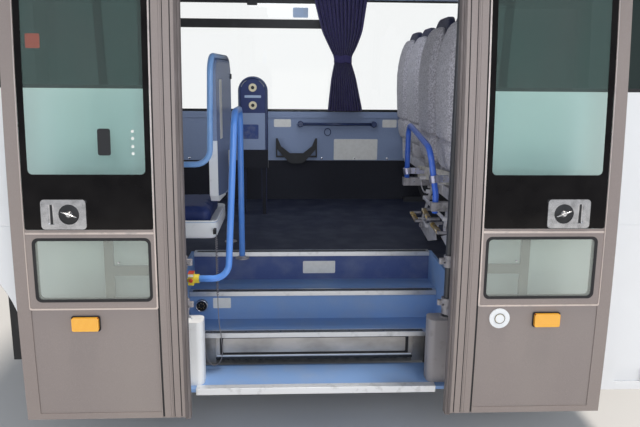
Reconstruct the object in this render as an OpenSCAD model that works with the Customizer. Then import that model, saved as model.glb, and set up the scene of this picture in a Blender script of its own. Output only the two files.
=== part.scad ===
// Middle entrance bay of a passenger bus: a full-width body section with twin
// outward swinging door leaves, a stepped well, seats, rails and a far window.
// Lengths are in millimetres. Inside the modules x runs along the bus, y runs
// from the near skin (0) into the bus, and z is the height above the road.

/* [Bay] */
// Length of the body section along the bus
bay_len = 3340; // [3300:10:3500]
// Overall width of the bus body
bus_w = 2550; // [2500:10:2600]
// Radius of the curved side walls, seen along the bus
skin_r = 12146; // [10000:50:16000]
// Height at which the side walls bulge the most
skin_mid_z = 873; // [800:5:950]
// Height of the roof's crown above the road
roof_z = 3150; // [3100:10:3250]
// Radius of the roof's crown
crown_r = 6000; // [5000:100:8000]
// Radius between the side walls and the roof
cornice_r = 300; // [250:10:340]
// Lower edge of the body skirts
skirt_z = 342; // [320:2:360]

/* [Wheel arch] */
// Distance from the doorway's centre to the rear axle
arch_x = 2000; // [1980:5:2020]
// Height of the arch's centre
arch_z = 600; // [580:5:620]
// Radius of the wheel arch
arch_r = 600; // [590:5:610]
// Depth of the arch behind the skin
arch_depth = 470; // [440:5:480]

/* [Floor and steps] */
// Height of the passenger floor
floor_z = 878; // [870:1:900]
// Height of the entry step
step1_z = 347; // [335:1:360]
// Height of the second step
step2_z = 542; // [530:1:555]
// Height of the third step
step3_z = 707; // [695:1:720]
// Front of the entry step, behind the closed leaves
step1_y = 67; // [64:1:75]
// Front of the second step
step2_y = 331; // [325:1:340]
// Front of the third step
step3_y = 536; // [530:1:545]
// Front edge of the floor at the well
step4_y = 754; // [745:1:765]
// Half width of the two lower steps
step_half = 610; // [600:1:615]
// Half width of the well above them
well_half = 700; // [690:1:705]
// Thickness of the step boards
board_t = 18; // [12:1:22]
// Thickness of the floor deck
deck_t = 20; // [15:1:24]
// Height of the aluminium step nosings
nosing_h = 26; // [20:1:30]

/* [Door leaves] */
// Width of one door leaf
leaf_w = 745; // [735:1:750]
// Thickness of a leaf
leaf_t = 45; // [40:1:48]
// Lower edge of the leaves
leaf_z0 = 334; // [325:1:345]
// Upper edge of the leaves
leaf_z1 = 2460; // [2440:5:2470]
// Half the gap between the closed leaves
leaf_gap = 5; // [4:0.5:8]
// Distance a leaf travels sideways
leaf_shift = 595; // [585:1:605]
// Distance an open leaf stands proud of the body
leaf_out = 200; // [190:1:210]
// Distance from the doorway's centre to a column
column_x = 675; // [672:1:680]
// Depth of the columns behind the skin
column_y = 165; // [160:1:168]
// Radius of the turning columns
column_r = 20; // [16:1:22]
// Middle height of the lower arms
arm_low_z = 722; // [715:1:730]
// Middle height of the upper arms
arm_high_z = 2330; // [2310:5:2340]
// Height of an arm's bar
arm_h = 34; // [26:1:40]
// Width of an arm's bar
arm_w = 22; // [18:1:30]
// Radius of the pins at the arm ends
pin_r = 9; // [7:0.5:11]

/* [Windows] */
// Lower edge of the near side windows
near_sill_z = 1840; // [1820:5:1860]
// Lower edge of the far side window
far_sill_z = 1614; // [1600:2:1630]
// Upper edge of the side windows
win_top_z = 2480; // [2470:2:2500]
// Thickness of the window glass
glass_t = 6; // [4:1:8]
// Lower edge of a leaf's lower window
leaf_win_z0 = 915; // [905:1:925]
// Upper edge of a leaf's lower window
leaf_win_z1 = 1193; // [1180:1:1200]
// Lower edge of a leaf's upper glass
leaf_glass_z0 = 1236; // [1228:1:1244]

/* [Rails] */
// Radius of the blue entry rails
rail_r = 17; // [15:1:19]
// Radius of the partition's tube
tube_r = 16; // [14:1:18]
// Radius of the grab rail on the far wall
grab_r = 12; // [10:1:14]
// Radius of the rails' bends
bend_r = 80; // [60:5:90]

/* [Mounting] */
// Height of the mounting feet's lower face
mount_z = 548; // [540:2:560]
// Half the spacing of the mounting holes along the bus
mount_x = 1000; // [950:10:1050]
// How far the mounting holes lie outside the middle of their rails
foot_out = 100; // [90:5:110]
// Radius of the mounting holes
mount_r = 9; // [8:0.5:11]

/* [Hidden] */

// General fits and fineness
seat_gap = 0.3;
pin_clear = 0.4;
door_clear = 12;
fine = 96;
coarse = 40;
skin_step = 90;
tube_sides = 16;

// Body section
half_len = bay_len / 2;
mid_y = bus_w / 2;
panel_t = 24;
post_t = 45;
post_w = 60;
jamb_x = leaf_gap + leaf_w + door_clear;
waist_h = 50;
cant_z0 = win_top_z + 30;
cant_h = 90;
trim_depth = panel_t + post_t + seat_gap;
trim_t = 8;
lining_in = trim_depth + trim_t;
side_clear = 2;
sheet_gap = 2;

// Seams and recesses of the outer panels
seam_z = 1207;
seam_w = 4;
seam_depth = 2;
latch_x = [1515, 1654];
latch_z = [384, 460];
latch_depth = 10;

// Wheel arch and its liner
arch_clear = 60;
liner_t = 8;
liner_y = 14;

// Underframe
foot_t = 12;
foot_w = 170;
foot_edge = 60;
rail_w = 80;
rail_h = 150;
rail_z0 = mount_z + foot_t;
rail_z1 = rail_z0 + rail_h;
well_end = step4_y + board_t;
well_clear = 48;
rail_well_clear = 63;
rail_y = mid_y - well_end - rail_well_clear - rail_w / 2;
mount_y = rail_y + foot_out;
cross_w = 50;
cross_end = 40;
cross_side = panel_t + post_t + side_clear;
cross_x = jamb_x + post_w / 2;
// Cross members: middle in x, first y and last y
CROSS_MEMBERS = [[-half_len + cross_end, arch_depth + arch_clear, bus_w - arch_depth - arch_clear],
    [-cross_x, cross_side, bus_w - cross_side], [0, well_end + well_clear, bus_w - cross_side],
    [cross_x, cross_side, bus_w - cross_side], [half_len - cross_end, cross_side, bus_w - cross_side]];
deck_cut = [floor_z - 60, floor_z + 10];

// Door linkage: a leaf travels on arms that turn with the column, so its
// sideways travel and its outward travel give the arm's length and angle
open_turn = 2 * atan(leaf_shift / leaf_out);
arm_len = leaf_out / sin(open_turn);
pivot_open_x = column_x - arm_len * cos(open_turn);
pivot_open_y = column_y - leaf_out;
leaf_open_x = leaf_gap + leaf_shift;
pivot_u = pivot_open_x - leaf_open_x;
knee_out = 33;
knee_in = 17;
arm_knee_x = column_x + knee_out;
arm_knee_y = pivot_open_y + knee_in;
arm_eye_r = 18;
lug_t = 12;
fork_r = 22;
plate_reach = 60;
plate_half = 50;
top_bar_half = 55;
// Castings on a column: lower end, height, radius
collar_reach = 42;
COLLARS = [[arm_low_z + arm_h / 2 - 1, 52, 32], [955, 60, 28]];

// A leaf's outline, measured from its meeting edge
seal_w = 24;
meet_stile_w = 132;
back_stile_w = 60;
leaf_rail_h = 40;
leaf_skin_t = 22;
leaf_glass_u = [meet_stile_w, leaf_w - back_stile_w];
kick_top_z = 881;
kick_edge = 30;
kick_lip = 8;
leaf_win_u = [153, 652];
corner_r = 22;
lock_u = 416;
lock_w = 192;
lock_h = 130;
lock_z0 = leaf_glass_z0 + 5;
lock_disc_u = lock_u + 73;
lock_disc_r = 44;
lock_knob_r = 14;
lock_slot_u = [lock_u + 136, lock_u + 162];
lamp_u = 448;
lamp_w = 118;
lamp_h = 62;
lamp_z = 807;
button_u = 228;
button_z = 815;
button_r = 47;
// Grooves of the ribbed profiles at the meeting edge: from, to and depth
SEAL_GROOVES = [[9, 11, 4]];
STILE_GROOVES = [[38, 43, 3], [70, 74, 3], [78, 80, 2], [87, 89, 2], [118, 127, 3]];
// Bars of the arm bracket's frame behind the lower window
inner_bar_depth = [leaf_t - 20, leaf_t - 2];
inner_bar_w = 40;
inner_bar_z = [1021, 1064];

// Steps: height, front edge, half width
STEPS = [[step1_z, step1_y, step_half], [step2_z, step2_y, step_half],
    [step3_z, step3_y, well_half], [floor_z, step4_y, well_half]];

// Covers over the columns' feet
cover_x = [575, 742];
cover_y = [108, 222];
cover_h = 338;
cover_wall = 5;
cover_r = 34;
neck_out = 16;
neck_up = 8;
neck_bore = 6;
cheek_y = cover_y[1] + seat_gap;

// Lift cassette in the first riser
cassette_half = 540;
cassette_y = step2_y + 12;
cassette_depth = 340;
cheek_over = 68;
cassette_z0 = 396;
cassette_top = step2_z - board_t - seat_gap;
cassette_lip = 12;
face_depth = 6;
brush_h = 26;

// Socket on the third riser
socket_x = -633;
socket_z = 626;
socket_r = 34;
socket_h = 16;

// Far wall
kick_top = 1209;
ledge_h = 51;
far_left_x = -1040;
far_mid_x = 270;
hopper_z = 2276;
hopper_h = 67;
hopper_t = 30;
hopper_side = 16;
hopper_top = 44;

// Rails and fittings on the far wall
grab_x = [-56, 576];
grab_z = 1515;
grab_off = 48;
grab_inset = 16;
bracket_x = -76.5;
bracket_z = 1300;
bracket_t = 22;
bracket_off = 34;
// Right half of the restraint bracket and of its two holes, from its middle
BRACKET = [[54.5, 1272], [128.5, 1330], [156.5, 1396], [170.5, 1396], [170.5, 1238], [98.5, 1238],
    [71.5, 1205], [41.5, 1188]];
BRACKET_HOLE = [[159.5, 1305], [159.5, 1252], [113.5, 1252]];
bracket_post_x = 146;
curtain_rail_z = 2503;
curtain_rail_r = 6;
rail_hanger_x = 600;
rail_hanger_r = 5;
curtain_off = 45;
curtain_y = far_face(curtain_rail_z) - curtain_off;
curtain_top = curtain_rail_z - curtain_rail_r - seat_gap;
curtain_t = 40;
// Curtain's outline: height, left edge, right edge
CURTAIN = [[curtain_top, 54, 479], [2250, 120, 420], [2036, 228, 351], [1890, 200, 400], [1630, 175, 458]];

// Wheelchair backrest and the partition beside the doorway
board_x = [-509, -295];
board_y = [1840, 1900];
board_z = [1230, 1791];
disc_z = [1690, 1817];
disc_r = 30;
board_leg = 36;
partition_t = 42;
edge_clear = 2;
partition_y = [470, 1000];
partition_z = [1232, 2000];

// Folding seat beside the doorway: pan, rim and cushion
pan_x = [-980, -515];
pan_y = [330, 820];
pan_z = [1063, 1160];
pan_wall = 14;
pan_rim = 22;
pan_r = 36;
pad_h = 68;
seat_leg_x = [-810, -750];
seat_leg_y = [540, 620];

// Hanging cord of the lift's remote control: a curly stretch, then a plain one
cord_r = 2.25;
cord_sides = 8;
curl_r = 7.25;
curl_x = -516;
curl_y = 300;
curl_z = [748, 1098];
socket_w = 30;

// Seats: each row stands beside a side wall, with a space between its two seats
seat_w = 440;
near_row_x = 720;
near_row_edge = 205;
near_row_space = 40;
far_row_x = 800;
far_row_edge = 115;
far_row_space = 25;
// x of the back's rear face, y of the seat's middle
SEATS = [[near_row_x, near_row_edge + seat_w / 2],
    [near_row_x, near_row_edge + near_row_space + seat_w * 3 / 2],
    [far_row_x, bus_w - far_row_edge - far_row_space - seat_w * 3 / 2],
    [far_row_x, bus_w - far_row_edge - seat_w / 2]];
seat_back_t = 110;
seat_back_h = 850;
seat_back_z = 1400;
seat_top_t = 46;
back_round = 60;
back_set = -50;
bow_z = 490;
top_set = 80;
foot_set = 35;
hinge_t = 8;
clamp_h = 48;
clamp_half = 22;
cushion_t = 90;
cushion_d = 430;
cushion_z = 1300;
bench_z = 1235;
bench_beams = [20, 380];
beam_w = 50;
leg_t = 24;
leg_inset = 90;
rib_half = 14;
rib_inset = 10;
hinge_up = 160;
// Outlines in x and z: hinge plate above the road, leg above the floor
HINGE_PLATE = [[20, bench_z], [120, bench_z], [110, seat_back_z], [70, seat_back_z + hinge_up],
    [0, seat_back_z + hinge_up],
    [10, seat_back_z]];
LEG = [[20, bench_z - floor_z], [430, bench_z - floor_z], [430, bench_z - floor_z - 22], [250, 40], [430, 40],
    [430, 0], [20, 0], [20, 40], [170, 40], [70, bench_z - floor_z - 22], [20, bench_z - floor_z - 22]];

// Rails: points chosen by hand along each tube's middle line
ENTRY_RAIL = [[-620, 214, 884], [-450, 214, 884], [-407, 250, 1725], [-407, 610, 1725],
    [-407, 610, floor_z]];
RIGHT_RAIL = [[597, 1010, 1240], [597, 1010, 1622], [588, 330, 1540], [628, 330, 1300],
    [628, 330, 1200]];
PARTITION_RAIL = [[-740, partition_y[0], 1436], [-560, partition_y[0], 1436],
    [-545, partition_y[0], partition_z[1]], [-505, partition_y[1], partition_z[1]],
    [-505, partition_y[1], floor_z]];
partition_turn = atan((PARTITION_RAIL[3][0] - PARTITION_RAIL[2][0]) / (partition_y[1] - partition_y[0]));
// Plain stretch of the hanging cord, from the curl down and up into the left foot cover
CORD = [[curl_x, curl_y, curl_z[0]], [-516, 300, 700], [-512, 299, 610], [-502, 298, 520], [-498, 296, 450],
    [-506, 296, 402], [-524, 296, 378], [-546, 296, 370], [-568, 295, 388], [-584, 294, 430], [-592, 292, 500],
    [-595, 284, 580], [-603, 268, 634], [-620, 250, 656], [-636, 236, 664], [-640, cover_y[1] + 6, 665],
    [-640, cover_y[1], 665]];

// The part's frame has its origin in the middle of the mounting feet
module placed() translate([0, -mid_y, -mount_z]) children();

module block(x, y, z)
    translate([x[0], y[0], z[0]])
        cube([x[1] - x[0], y[1] - y[0], z[1] - z[0]]);

// Rounded plate outline with its corners at a and b
module round_rect(a, b, r) {
    translate([a[0] + r, a[1]]) square([b[0] - a[0] - 2 * r, b[1] - a[1]]);
    translate([a[0], a[1] + r]) square([b[0] - a[0], b[1] - a[1] - 2 * r]);
    for (x = [a[0] + r, b[0] - r], z = [a[1] + r, b[1] - r])
        translate([x, z]) circle(r = r, $fn = coarse);
}

// Plate outline in x and z, as thick along y as the pair says
module wall_prism(x, y, z, r)
    translate([0, y[1], 0])
        rotate([90, 0, 0])
            linear_extrude(y[1] - y[0]) round_rect([x[0], z[0]], [x[1], z[1]], r);

// Curved sheet that follows the near skin between two depths. Its section is
// drawn in y and z, with a point every skin_step of height
module skin_band(x, depth, z)
    translate([x[0], 0, 0]) rotate([90, 0, 90]) linear_extrude(x[1] - x[0])
        polygon(concat([for (h = heights(z)) [skin_y(h) + depth[0], h]],
            [for (h = backwards(heights(z))) [skin_y(h) + depth[1], h]]));

function heights(z) = concat([z[0]],
    [for (k = [floor(z[0] / skin_step) + 1:ceil(z[1] / skin_step) - 1]) k * skin_step], [z[1]]);

// The same on the far side of the bus
module far_side()
    translate([0, bus_w, 0])
        mirror([0, 1, 0]) children();

function skin_y(z) = skin_r - sqrt(pow(skin_r, 2) - pow(z - skin_mid_z, 2));
function far_face(z) = bus_w - lining_in - skin_y(z);
function ordered(pair) = [min(pair), max(pair)];
function side_span(s, pair) = ordered([s * pair[0], s * pair[1]]);
function backwards(list) = [for (i = [len(list) - 1:-1:0]) list[i]];
function unit(v) = v / norm(v);

// Straight round rod between two points
module rod(a, b, r) {
    d = b - a;
    translate(a)
        rotate([0, acos(d[2] / norm(d)), atan2(d[1], d[0])])
            cylinder(r = r, h = norm(d), $fn = coarse);
}

// Turned angle at a corner, and how much of each leg its bend takes
function turn_at(a, p, b) = 180 - acos(unit(a - p) * unit(b - p));
function bend_leg(a, p, b, bend) = bend * tan(turn_at(a, p, b) / 2);

// Points of the round bend at the corner p between the points a and b
function bend_points(a, p, b, bend) = let(
    u = unit(a - p),
    centre = p + unit(u + unit(b - p)) * bend / cos(turn_at(a, p, b) / 2),
    start = unit(p + u * bend_leg(a, p, b, bend) - centre),
    steps = max(2, ceil(turn_at(a, p, b) / 15)))
    [for (i = [0:steps]) let(t = turn_at(a, p, b) * i / steps)
        centre + bend * (cos(t) * start - sin(t) * u)];

// Middle line of a tube, with its ends and its bends
function tube_line(points, bend) = concat([points[0]],
    [for (i = [1:len(points) - 2]) each bend_points(points[i - 1], points[i], points[i + 1], bend)],
    [points[len(points) - 1]]);

// Direction of the line at each of its points
function line_dirs(line) = [for (i = [0:len(line) - 1])
    unit(line[min(i + 1, len(line) - 1)] - line[max(i - 1, 0)])];

// Sideways direction at each point, carried along the line without a twist
function line_sides(dirs, first) = [for (i = 0, side = first; i < len(dirs);
    i = i + 1, side = i < len(dirs) ? unit(side - (side * dirs[i]) * dirs[i]) : side) side];

// Round tube swept along a line of points
module swept_tube(line, r, sides) {
    dirs = line_dirs(line);
    across = abs(dirs[0][1]) < 0.9 ? [0, 1, 0] : [0, 0, 1];
    carried = line_sides(dirs, unit(cross(dirs[0], across)));
    last = len(line) - 1;
    rings = [for (i = [0:last]) for (k = [0:sides - 1])
        line[i] + r * (cos(k * 360 / sides) * carried[i] + sin(k * 360 / sides) * cross(dirs[i], carried[i]))];
    polyhedron(rings, concat([[for (k = [0:sides - 1]) k]],
        [for (i = [0:last - 1]) for (k = [0:sides - 1]) let(n = (k + 1) % sides)
            [i * sides + n, i * sides + k, (i + 1) * sides + k, (i + 1) * sides + n]],
        [[for (k = [sides - 1:-1:0]) last * sides + k]]));
}

// Round tube through the points, with a round bend at each inner one
module bent_tube(points, r, bend) swept_tube(tube_line(points, bend), r, tube_sides);

// Smooth line through the points, with so many steps between two of them
function smooth_line(points, steps) = concat([for (i = [0:len(points) - 2]) for (k = [0:steps - 1])
    let(a = points[max(i - 1, 0)], b = points[i], c = points[i + 1],
        d = points[min(i + 2, len(points) - 1)], t = k / steps)
    b + t * (c - a) / 2 + t * t * (2 * a - 5 * b + 4 * c - d) / 2 + t * t * t * (3 * b - a - 3 * c + d) / 2],
    [points[len(points) - 1]]);

// Underframe: two long rails on four mounting feet, and the cross members that
// carry the deck
module underframe() color("#3a3d42") placed() {
    for (s = [-1, 1]) {
        rail = mid_y + s * rail_y;
        block([-half_len, half_len], [rail - rail_w / 2, rail + rail_w / 2], [rail_z0, rail_z1]);
        for (m = [-1, 1])
            difference() {
                block([m * mount_x - foot_w / 2, m * mount_x + foot_w / 2],
                    ordered([rail - s * rail_w / 2, mid_y + s * (mount_y + foot_edge)]), [mount_z, rail_z0]);
                translate([m * mount_x, mid_y + s * mount_y, mount_z - 1])
                    cylinder(r = mount_r, h = foot_t + 2, $fn = fine);
            }
    }
    for (c = CROSS_MEMBERS)
        block([c[0] - cross_w / 2, c[0] + cross_w / 2], [c[1], c[2]], [rail_z1 + seat_gap, floor_z - deck_t]);
}

// Room for a rear wheel behind the near skin
module arch_space(r, y1) {
    translate([-arch_x, y1, arch_z]) rotate([90, 0, 0])
        cylinder(r = r, h = y1 + arch_clear, $fn = fine);
    block([-arch_x - r, -arch_x + r], [-arch_clear, y1], [skirt_z - arch_clear, arch_z]);
}
module arch_cut() arch_space(arch_r, arch_depth + seat_gap);

// Liners of the two rear wheel arches
module wheel_liner() color("#1b1c1f") placed() {
    liner_half();
    far_side() liner_half();
}
module liner_half()
    intersection() {
        difference() {
            arch_space(arch_r - seat_gap, arch_depth);
            arch_space(arch_r - liner_t, arch_depth - liner_t);
        }
        block([-half_len, -arch_x + arch_r], [liner_y, arch_depth], [skirt_z, arch_z + arch_r]);
    }

// Floor deck with the opening of the step well
module floor_deck() color("#2f3f66") placed()
    difference() {
        well_x = well_half + board_t + seat_gap;
        block([-half_len, half_len], [cross_side, bus_w - cross_side], [floor_z - deck_t + seat_gap, floor_z]);
        block([-well_x, well_x], [0, step4_y + seat_gap], deck_cut);
        for (s = [-1, 1])
            block(side_span(s, [well_half - seat_gap, well_x]), [0, well_end + seat_gap], deck_cut);
        arch_cut();
        far_side() arch_cut();
    }

// Stepped well: boards, risers and side cheeks
module step_well() color("#5f86b8") placed() {
    // The entry step is open at its front and closed by the cassette behind
    entry_z = [step1_z - board_t, step1_z];
    block([-step_half, step_half], [step1_y, step2_y + board_t], entry_z);
    block([-jamb_x + 8, jamb_x - 8], [step1_y, cover_y[1] + 10], entry_z);
    for (i = [1:2]) {
        lower = STEPS[i];
        upper = STEPS[i + 1];
        riser_top = upper[0] - (i == 2 ? deck_t : board_t);
        block([-lower[2], lower[2]], [lower[1], upper[1] + board_t], [lower[0] - board_t, lower[0]]);
        block([-upper[2], upper[2]], [upper[1], upper[1] + board_t], [lower[0] - board_t, riser_top]);
    }
    // Cheeks beside the steps
    for (s = [-1, 1]) {
        block(side_span(s, [well_half, well_half + board_t]), [cheek_y, well_end],
            [step2_z - board_t, floor_z]);
        block(side_span(s, [step_half, step_half + board_t]),
            [cheek_y, cassette_y + cassette_depth + cheek_over], [step1_z - board_t, step2_z - board_t]);
        block(side_span(s, [step_half, well_half + board_t]), [cheek_y, step3_y + board_t],
            [step2_z - board_t, step2_z]);
    }
}

// Aluminium nosings on the front edges of the steps
module step_nosings() color("#c9ccd0") placed() {
    lip = 20;
    cover = 34;
    for (i = [1:3]) {
        s = STEPS[i];
        half = s[2] - 2;
        top = s[0] + 3;
        difference() {
            block([-half, half], [s[1] - lip, s[1] + cover], [top - nosing_h, top]);
            block([-half - 1, half + 1], [s[1] - lip + 4, s[1] + cover + 1],
                [top - nosing_h - 1, s[0] + seat_gap]);
        }
    }
}

// Pale sill strip along the front of the entry step
module entry_sill() color("#e6e2da") placed()
    difference() {
        block([-step_half, step_half], [STEPS[0][1] - 4, STEPS[0][1] + 40],
            [STEPS[0][0] - 32, STEPS[0][0] + 3]);
        block([-step_half - 1, step_half + 1], [STEPS[0][1] - seat_gap, STEPS[0][1] + 41],
            [STEPS[0][0] - 33, STEPS[0][0] + seat_gap]);
    }

// Wheelchair lift folded flat in its cassette under the second step
module lift_cassette() color("#a9a6a1") placed() {
    difference() {
        block([-cassette_half, cassette_half], [cassette_y, cassette_y + cassette_depth],
            [cassette_z0, cassette_top]);
        block([-cassette_half + 2 * cassette_lip, cassette_half - 2 * cassette_lip],
            [cassette_y - 1, cassette_y + face_depth],
            [cassette_z0 + cassette_lip, cassette_top - cassette_lip]);
    }
    // Guide rails on both sides of the cassette
    for (s = [-1, 1])
        block(side_span(s, [cassette_half + seat_gap, step_half - seat_gap]),
            [cassette_y + 5 * face_depth, cassette_y + cassette_depth], [step1_z + seat_gap, cassette_top]);
}

// Dark brush strip and slot below the cassette's front
module cassette_brush() color("#17181b") placed() {
    half = cassette_half - seat_gap;
    foot = step1_z + seat_gap;
    block([-half, half], [cassette_y + 2, cassette_y + 24], [foot + brush_h, cassette_z0 - seat_gap]);
    block([-half, half], [cassette_y + 2, cassette_y + 90], [foot, foot + brush_h]);
}

// Moulded covers over the feet of the columns
module foot_covers() color("#c4c5c3") placed()
    for (s = [-1, 1])
        difference() {
            union() {
                cover_body(s, 0);
                translate([s * column_x, column_y, step1_z + seat_gap])
                    cylinder(r = column_r + neck_out, h = cover_h + neck_up, $fn = fine);
            }
            cover_body(s, cover_wall);
            translate([s * column_x, column_y, step1_z + cover_r])
                cylinder(r = column_r + neck_bore, h = cover_h, $fn = fine);
        }

// Rounded box of a foot cover, shrunk by a wall and then open below
module cover_body(s, wall) {
    x = side_span(s, cover_x);
    below = wall > 0 ? 1 : 0;
    translate([0, 0, step1_z + seat_gap - below])
        linear_extrude(cover_h - wall + below)
            round_rect([x[0] + wall, cover_y[0] + wall], [x[1] - wall, cover_y[1] - wall], cover_r - wall);
}

// Round socket on the third riser
module riser_socket() color("#202124") placed()
    translate([socket_x, step3_y - seat_gap, socket_z]) rotate([90, 0, 0]) difference() {
        cylinder(r = socket_r, h = socket_h, $fn = fine);
        translate([0, 0, socket_h - 10]) cylinder(r = socket_r - 10, h = 11, $fn = fine);
    }

// Steel frame of the near side: posts, waist rails, cant rail and sole bars
module near_frame() color("#2b2c2f") placed()
    difference() {
        depth = [panel_t + seat_gap, panel_t + post_t];
        union() {
            for (s = [-1, 1]) {
                for (x = [jamb_x, half_len - post_w])
                    skin_band(side_span(s, [x, x + post_w]), depth, [skirt_z, cant_z0 + cant_h]);
                for (z = [[skirt_z, skirt_z + waist_h], [floor_z - 70, floor_z - deck_t],
                        [near_sill_z - waist_h, near_sill_z]])
                    skin_band(side_span(s, [jamb_x + post_w, half_len - post_w]), depth, z);
            }
            skin_band([-half_len, half_len], depth, [cant_z0, cant_z0 + cant_h]);
        }
        arch_cut();
    }

// White outer panel beside the doorway, s is -1 to the rear and 1 to the front
module near_panel(s) {
    x = side_span(s, [jamb_x, half_len]);
    difference() {
        skin_band(x, [0, panel_t], [skirt_z, near_sill_z - sheet_gap]);
        skin_band([x[0] - 1, x[1] + 1], [-1, seam_depth], [seam_z, seam_z + seam_w]);
        if (s < 0)
            arch_cut();
        else
            wall_prism(latch_x, [-1, skin_y(latch_z[0]) + latch_depth], latch_z, 6);
    }
    skin_band(x, [0, panel_t], [cant_z0, cant_z0 + cant_h]);
}
module near_panel_rear() color("#f1f1f0") placed() near_panel(-1);
module near_panel_front() color("#f1f1f0") placed() near_panel(1);

// Tinted side window bonded over the posts
module near_glass(s)
    skin_band(side_span(s, [jamb_x, half_len]), [panel_t - glass_t, panel_t],
        [near_sill_z + sheet_gap, cant_z0 - sheet_gap]);
module near_glass_rear() color("#26302f", 0.7) placed() near_glass(-1);
module near_glass_front() color("#26302f", 0.7) placed() near_glass(1);

// Panel over the doorway with the bearings that hold the columns' upper pins
module door_header() color("#9a908c") placed() {
    half = jamb_x - 2;
    z0 = leaf_z1 + door_clear;
    difference() {
        union() {
            skin_band([-half, half], [0, panel_t + post_t], [z0, cant_z0 - seat_gap]);
            for (s = [-1, 1])
                block([s * column_x - 45, s * column_x + 45], [skin_y(z0) + panel_t, column_y + 40],
                    [z0, z0 + 34]);
        }
        for (s = [-1, 1])
            translate([s * column_x, column_y, leaf_z1])
                cylinder(r = pin_r + pin_clear, h = 80, $fn = fine);
    }
    skin_band([-half, half], [0, panel_t], [cant_z0 + seat_gap, cant_z0 + cant_h]);
}

// Steel frame of the far side
module far_frame() color("#2b2c2f") placed() far_side()
    difference() {
        depth = [panel_t + seat_gap, panel_t + post_t];
        union() {
            for (x = [-half_len, far_left_x - post_w, far_mid_x - post_w / 2, half_len - post_w])
                skin_band([x, x + post_w], depth, [skirt_z, cant_z0 + cant_h]);
            for (z = [[skirt_z, skirt_z + waist_h], [floor_z - 70, floor_z - deck_t],
                    [far_sill_z - waist_h, far_sill_z], [cant_z0, cant_z0 + cant_h]])
                skin_band([-half_len, half_len], depth, z);
        }
        arch_cut();
    }

// White outer panels of the far side
module far_panel() color("#f1f1f0") placed() far_side() {
    difference() {
        skin_band([-half_len, half_len], [0, panel_t], [skirt_z, far_sill_z - sheet_gap]);
        arch_cut();
    }
    skin_band([-half_len, half_len], [0, panel_t], [cant_z0, cant_z0 + cant_h]);
}

// Window panes of the far side, split at the posts
module far_glass() color("#b9d2d8", 0.4) placed() far_side()
    for (x = [[-half_len, far_left_x - post_w / 2 - sheet_gap],
            [far_left_x - post_w / 2 + sheet_gap, far_mid_x - sheet_gap], [far_mid_x + sheet_gap, half_len]])
        skin_band(x, [panel_t - glass_t, panel_t], [far_sill_z + sheet_gap, cant_z0 - sheet_gap]);

// Tilting vent frames in the upper part of the far windows
module far_hopper() color("#1d1e21") placed() far_side()
    for (x = [[far_left_x + 1, far_mid_x - post_w / 2 - 1],
        [far_mid_x + post_w / 2 + 1, half_len - post_w - 1]])
        difference() {
            skin_band(x, [panel_t + seat_gap, panel_t + hopper_t], [hopper_z, cant_z0 - 1]);
            skin_band([x[0] + hopper_side, x[1] - hopper_side], [panel_t - 1, panel_t + hopper_t + 1],
                [hopper_z + hopper_h, cant_z0 - hopper_top]);
        }

// Lining of the far wall: blue-grey field, grey ledge and window header
module far_trim() color("#8b9cb4") placed() far_side() {
    depth = [trim_depth, lining_in];
    skin_band([-half_len, half_len], depth, [kick_top + seat_gap, far_sill_z - ledge_h - seat_gap]);
    skin_band([-half_len, half_len], [trim_depth, lining_in + 10], [far_sill_z - ledge_h, far_sill_z]);
    skin_band([-half_len, half_len], depth, [win_top_z + 14, cant_z0 + 50]);
}

// Dark carpeted kick panel with the heater behind it
module far_kick() color("#191c26") placed() far_side()
    difference() {
        skin_band([-half_len, half_len], [trim_depth, lining_in + 12], [floor_z + seat_gap, kick_top]);
        arch_cut();
    }

// Inner lining of the near side below the windows
module near_trim() color("#8b9cb4") placed()
    difference() {
        for (s = [-1, 1])
            skin_band(side_span(s, [jamb_x + 4, half_len]), [trim_depth, lining_in],
                [floor_z + seat_gap, near_sill_z]);
        arch_cut();
    }

// Dark blue grab rail on the far wall with its brackets
module far_grab_rail() color("#2a4272") placed() {
    wall = far_face(grab_z);
    y = wall - grab_off;
    rod([grab_x[0], y, grab_z], [grab_x[1], y, grab_z], grab_r);
    for (x = [grab_x[0] + grab_inset, (grab_x[0] + grab_x[1]) / 2, grab_x[1] - grab_inset])
        rod([x, y, grab_z], [x, wall - seat_gap, grab_z], grab_r - 4);
}

// Black wheelchair restraint bracket on the far wall, a plate on two posts
module restraint_bracket() color("#111216") placed() {
    wall = far_face(bracket_z);
    y = wall - bracket_off;
    translate([bracket_x, y + bracket_t / 2, 0]) rotate([90, 0, 0]) linear_extrude(bracket_t)
        difference() {
            polygon(concat(BRACKET, [for (p = backwards(BRACKET)) [-p[0], p[1]]]));
            for (m = [-1, 1])
                polygon([for (p = BRACKET_HOLE) [m * p[0], p[1]]]);
        }
    for (m = [-1, 1])
        rod([bracket_x + m * bracket_post_x, y, bracket_z + 45], [bracket_x + m * bracket_post_x,
            far_face(bracket_z + 45) - seat_gap, bracket_z + 45], grab_r - 2);
}

// Tied curtain, with its rail along the top of the far window
module curtain() color("#1c2a52") placed()
    translate([0, curtain_y + curtain_t / 2, 0]) rotate([90, 0, 0]) linear_extrude(curtain_t)
        polygon(concat([for (r = CURTAIN) [r[1], r[0]]], [for (r = backwards(CURTAIN)) [r[2], r[0]]]));
module curtain_rail() color("#c9ccd0") placed() {
    rod([-half_len + 20, curtain_y, curtain_rail_z], [half_len - 20, curtain_y, curtain_rail_z],
        curtain_rail_r);
    for (x = [-half_len + 60, -rail_hanger_x, rail_hanger_x, half_len - 60])
        rod([x, curtain_y, curtain_rail_z], [x, far_face(curtain_rail_z + rail_hanger_r) - seat_gap,
            curtain_rail_z], rail_hanger_r);
}

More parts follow.
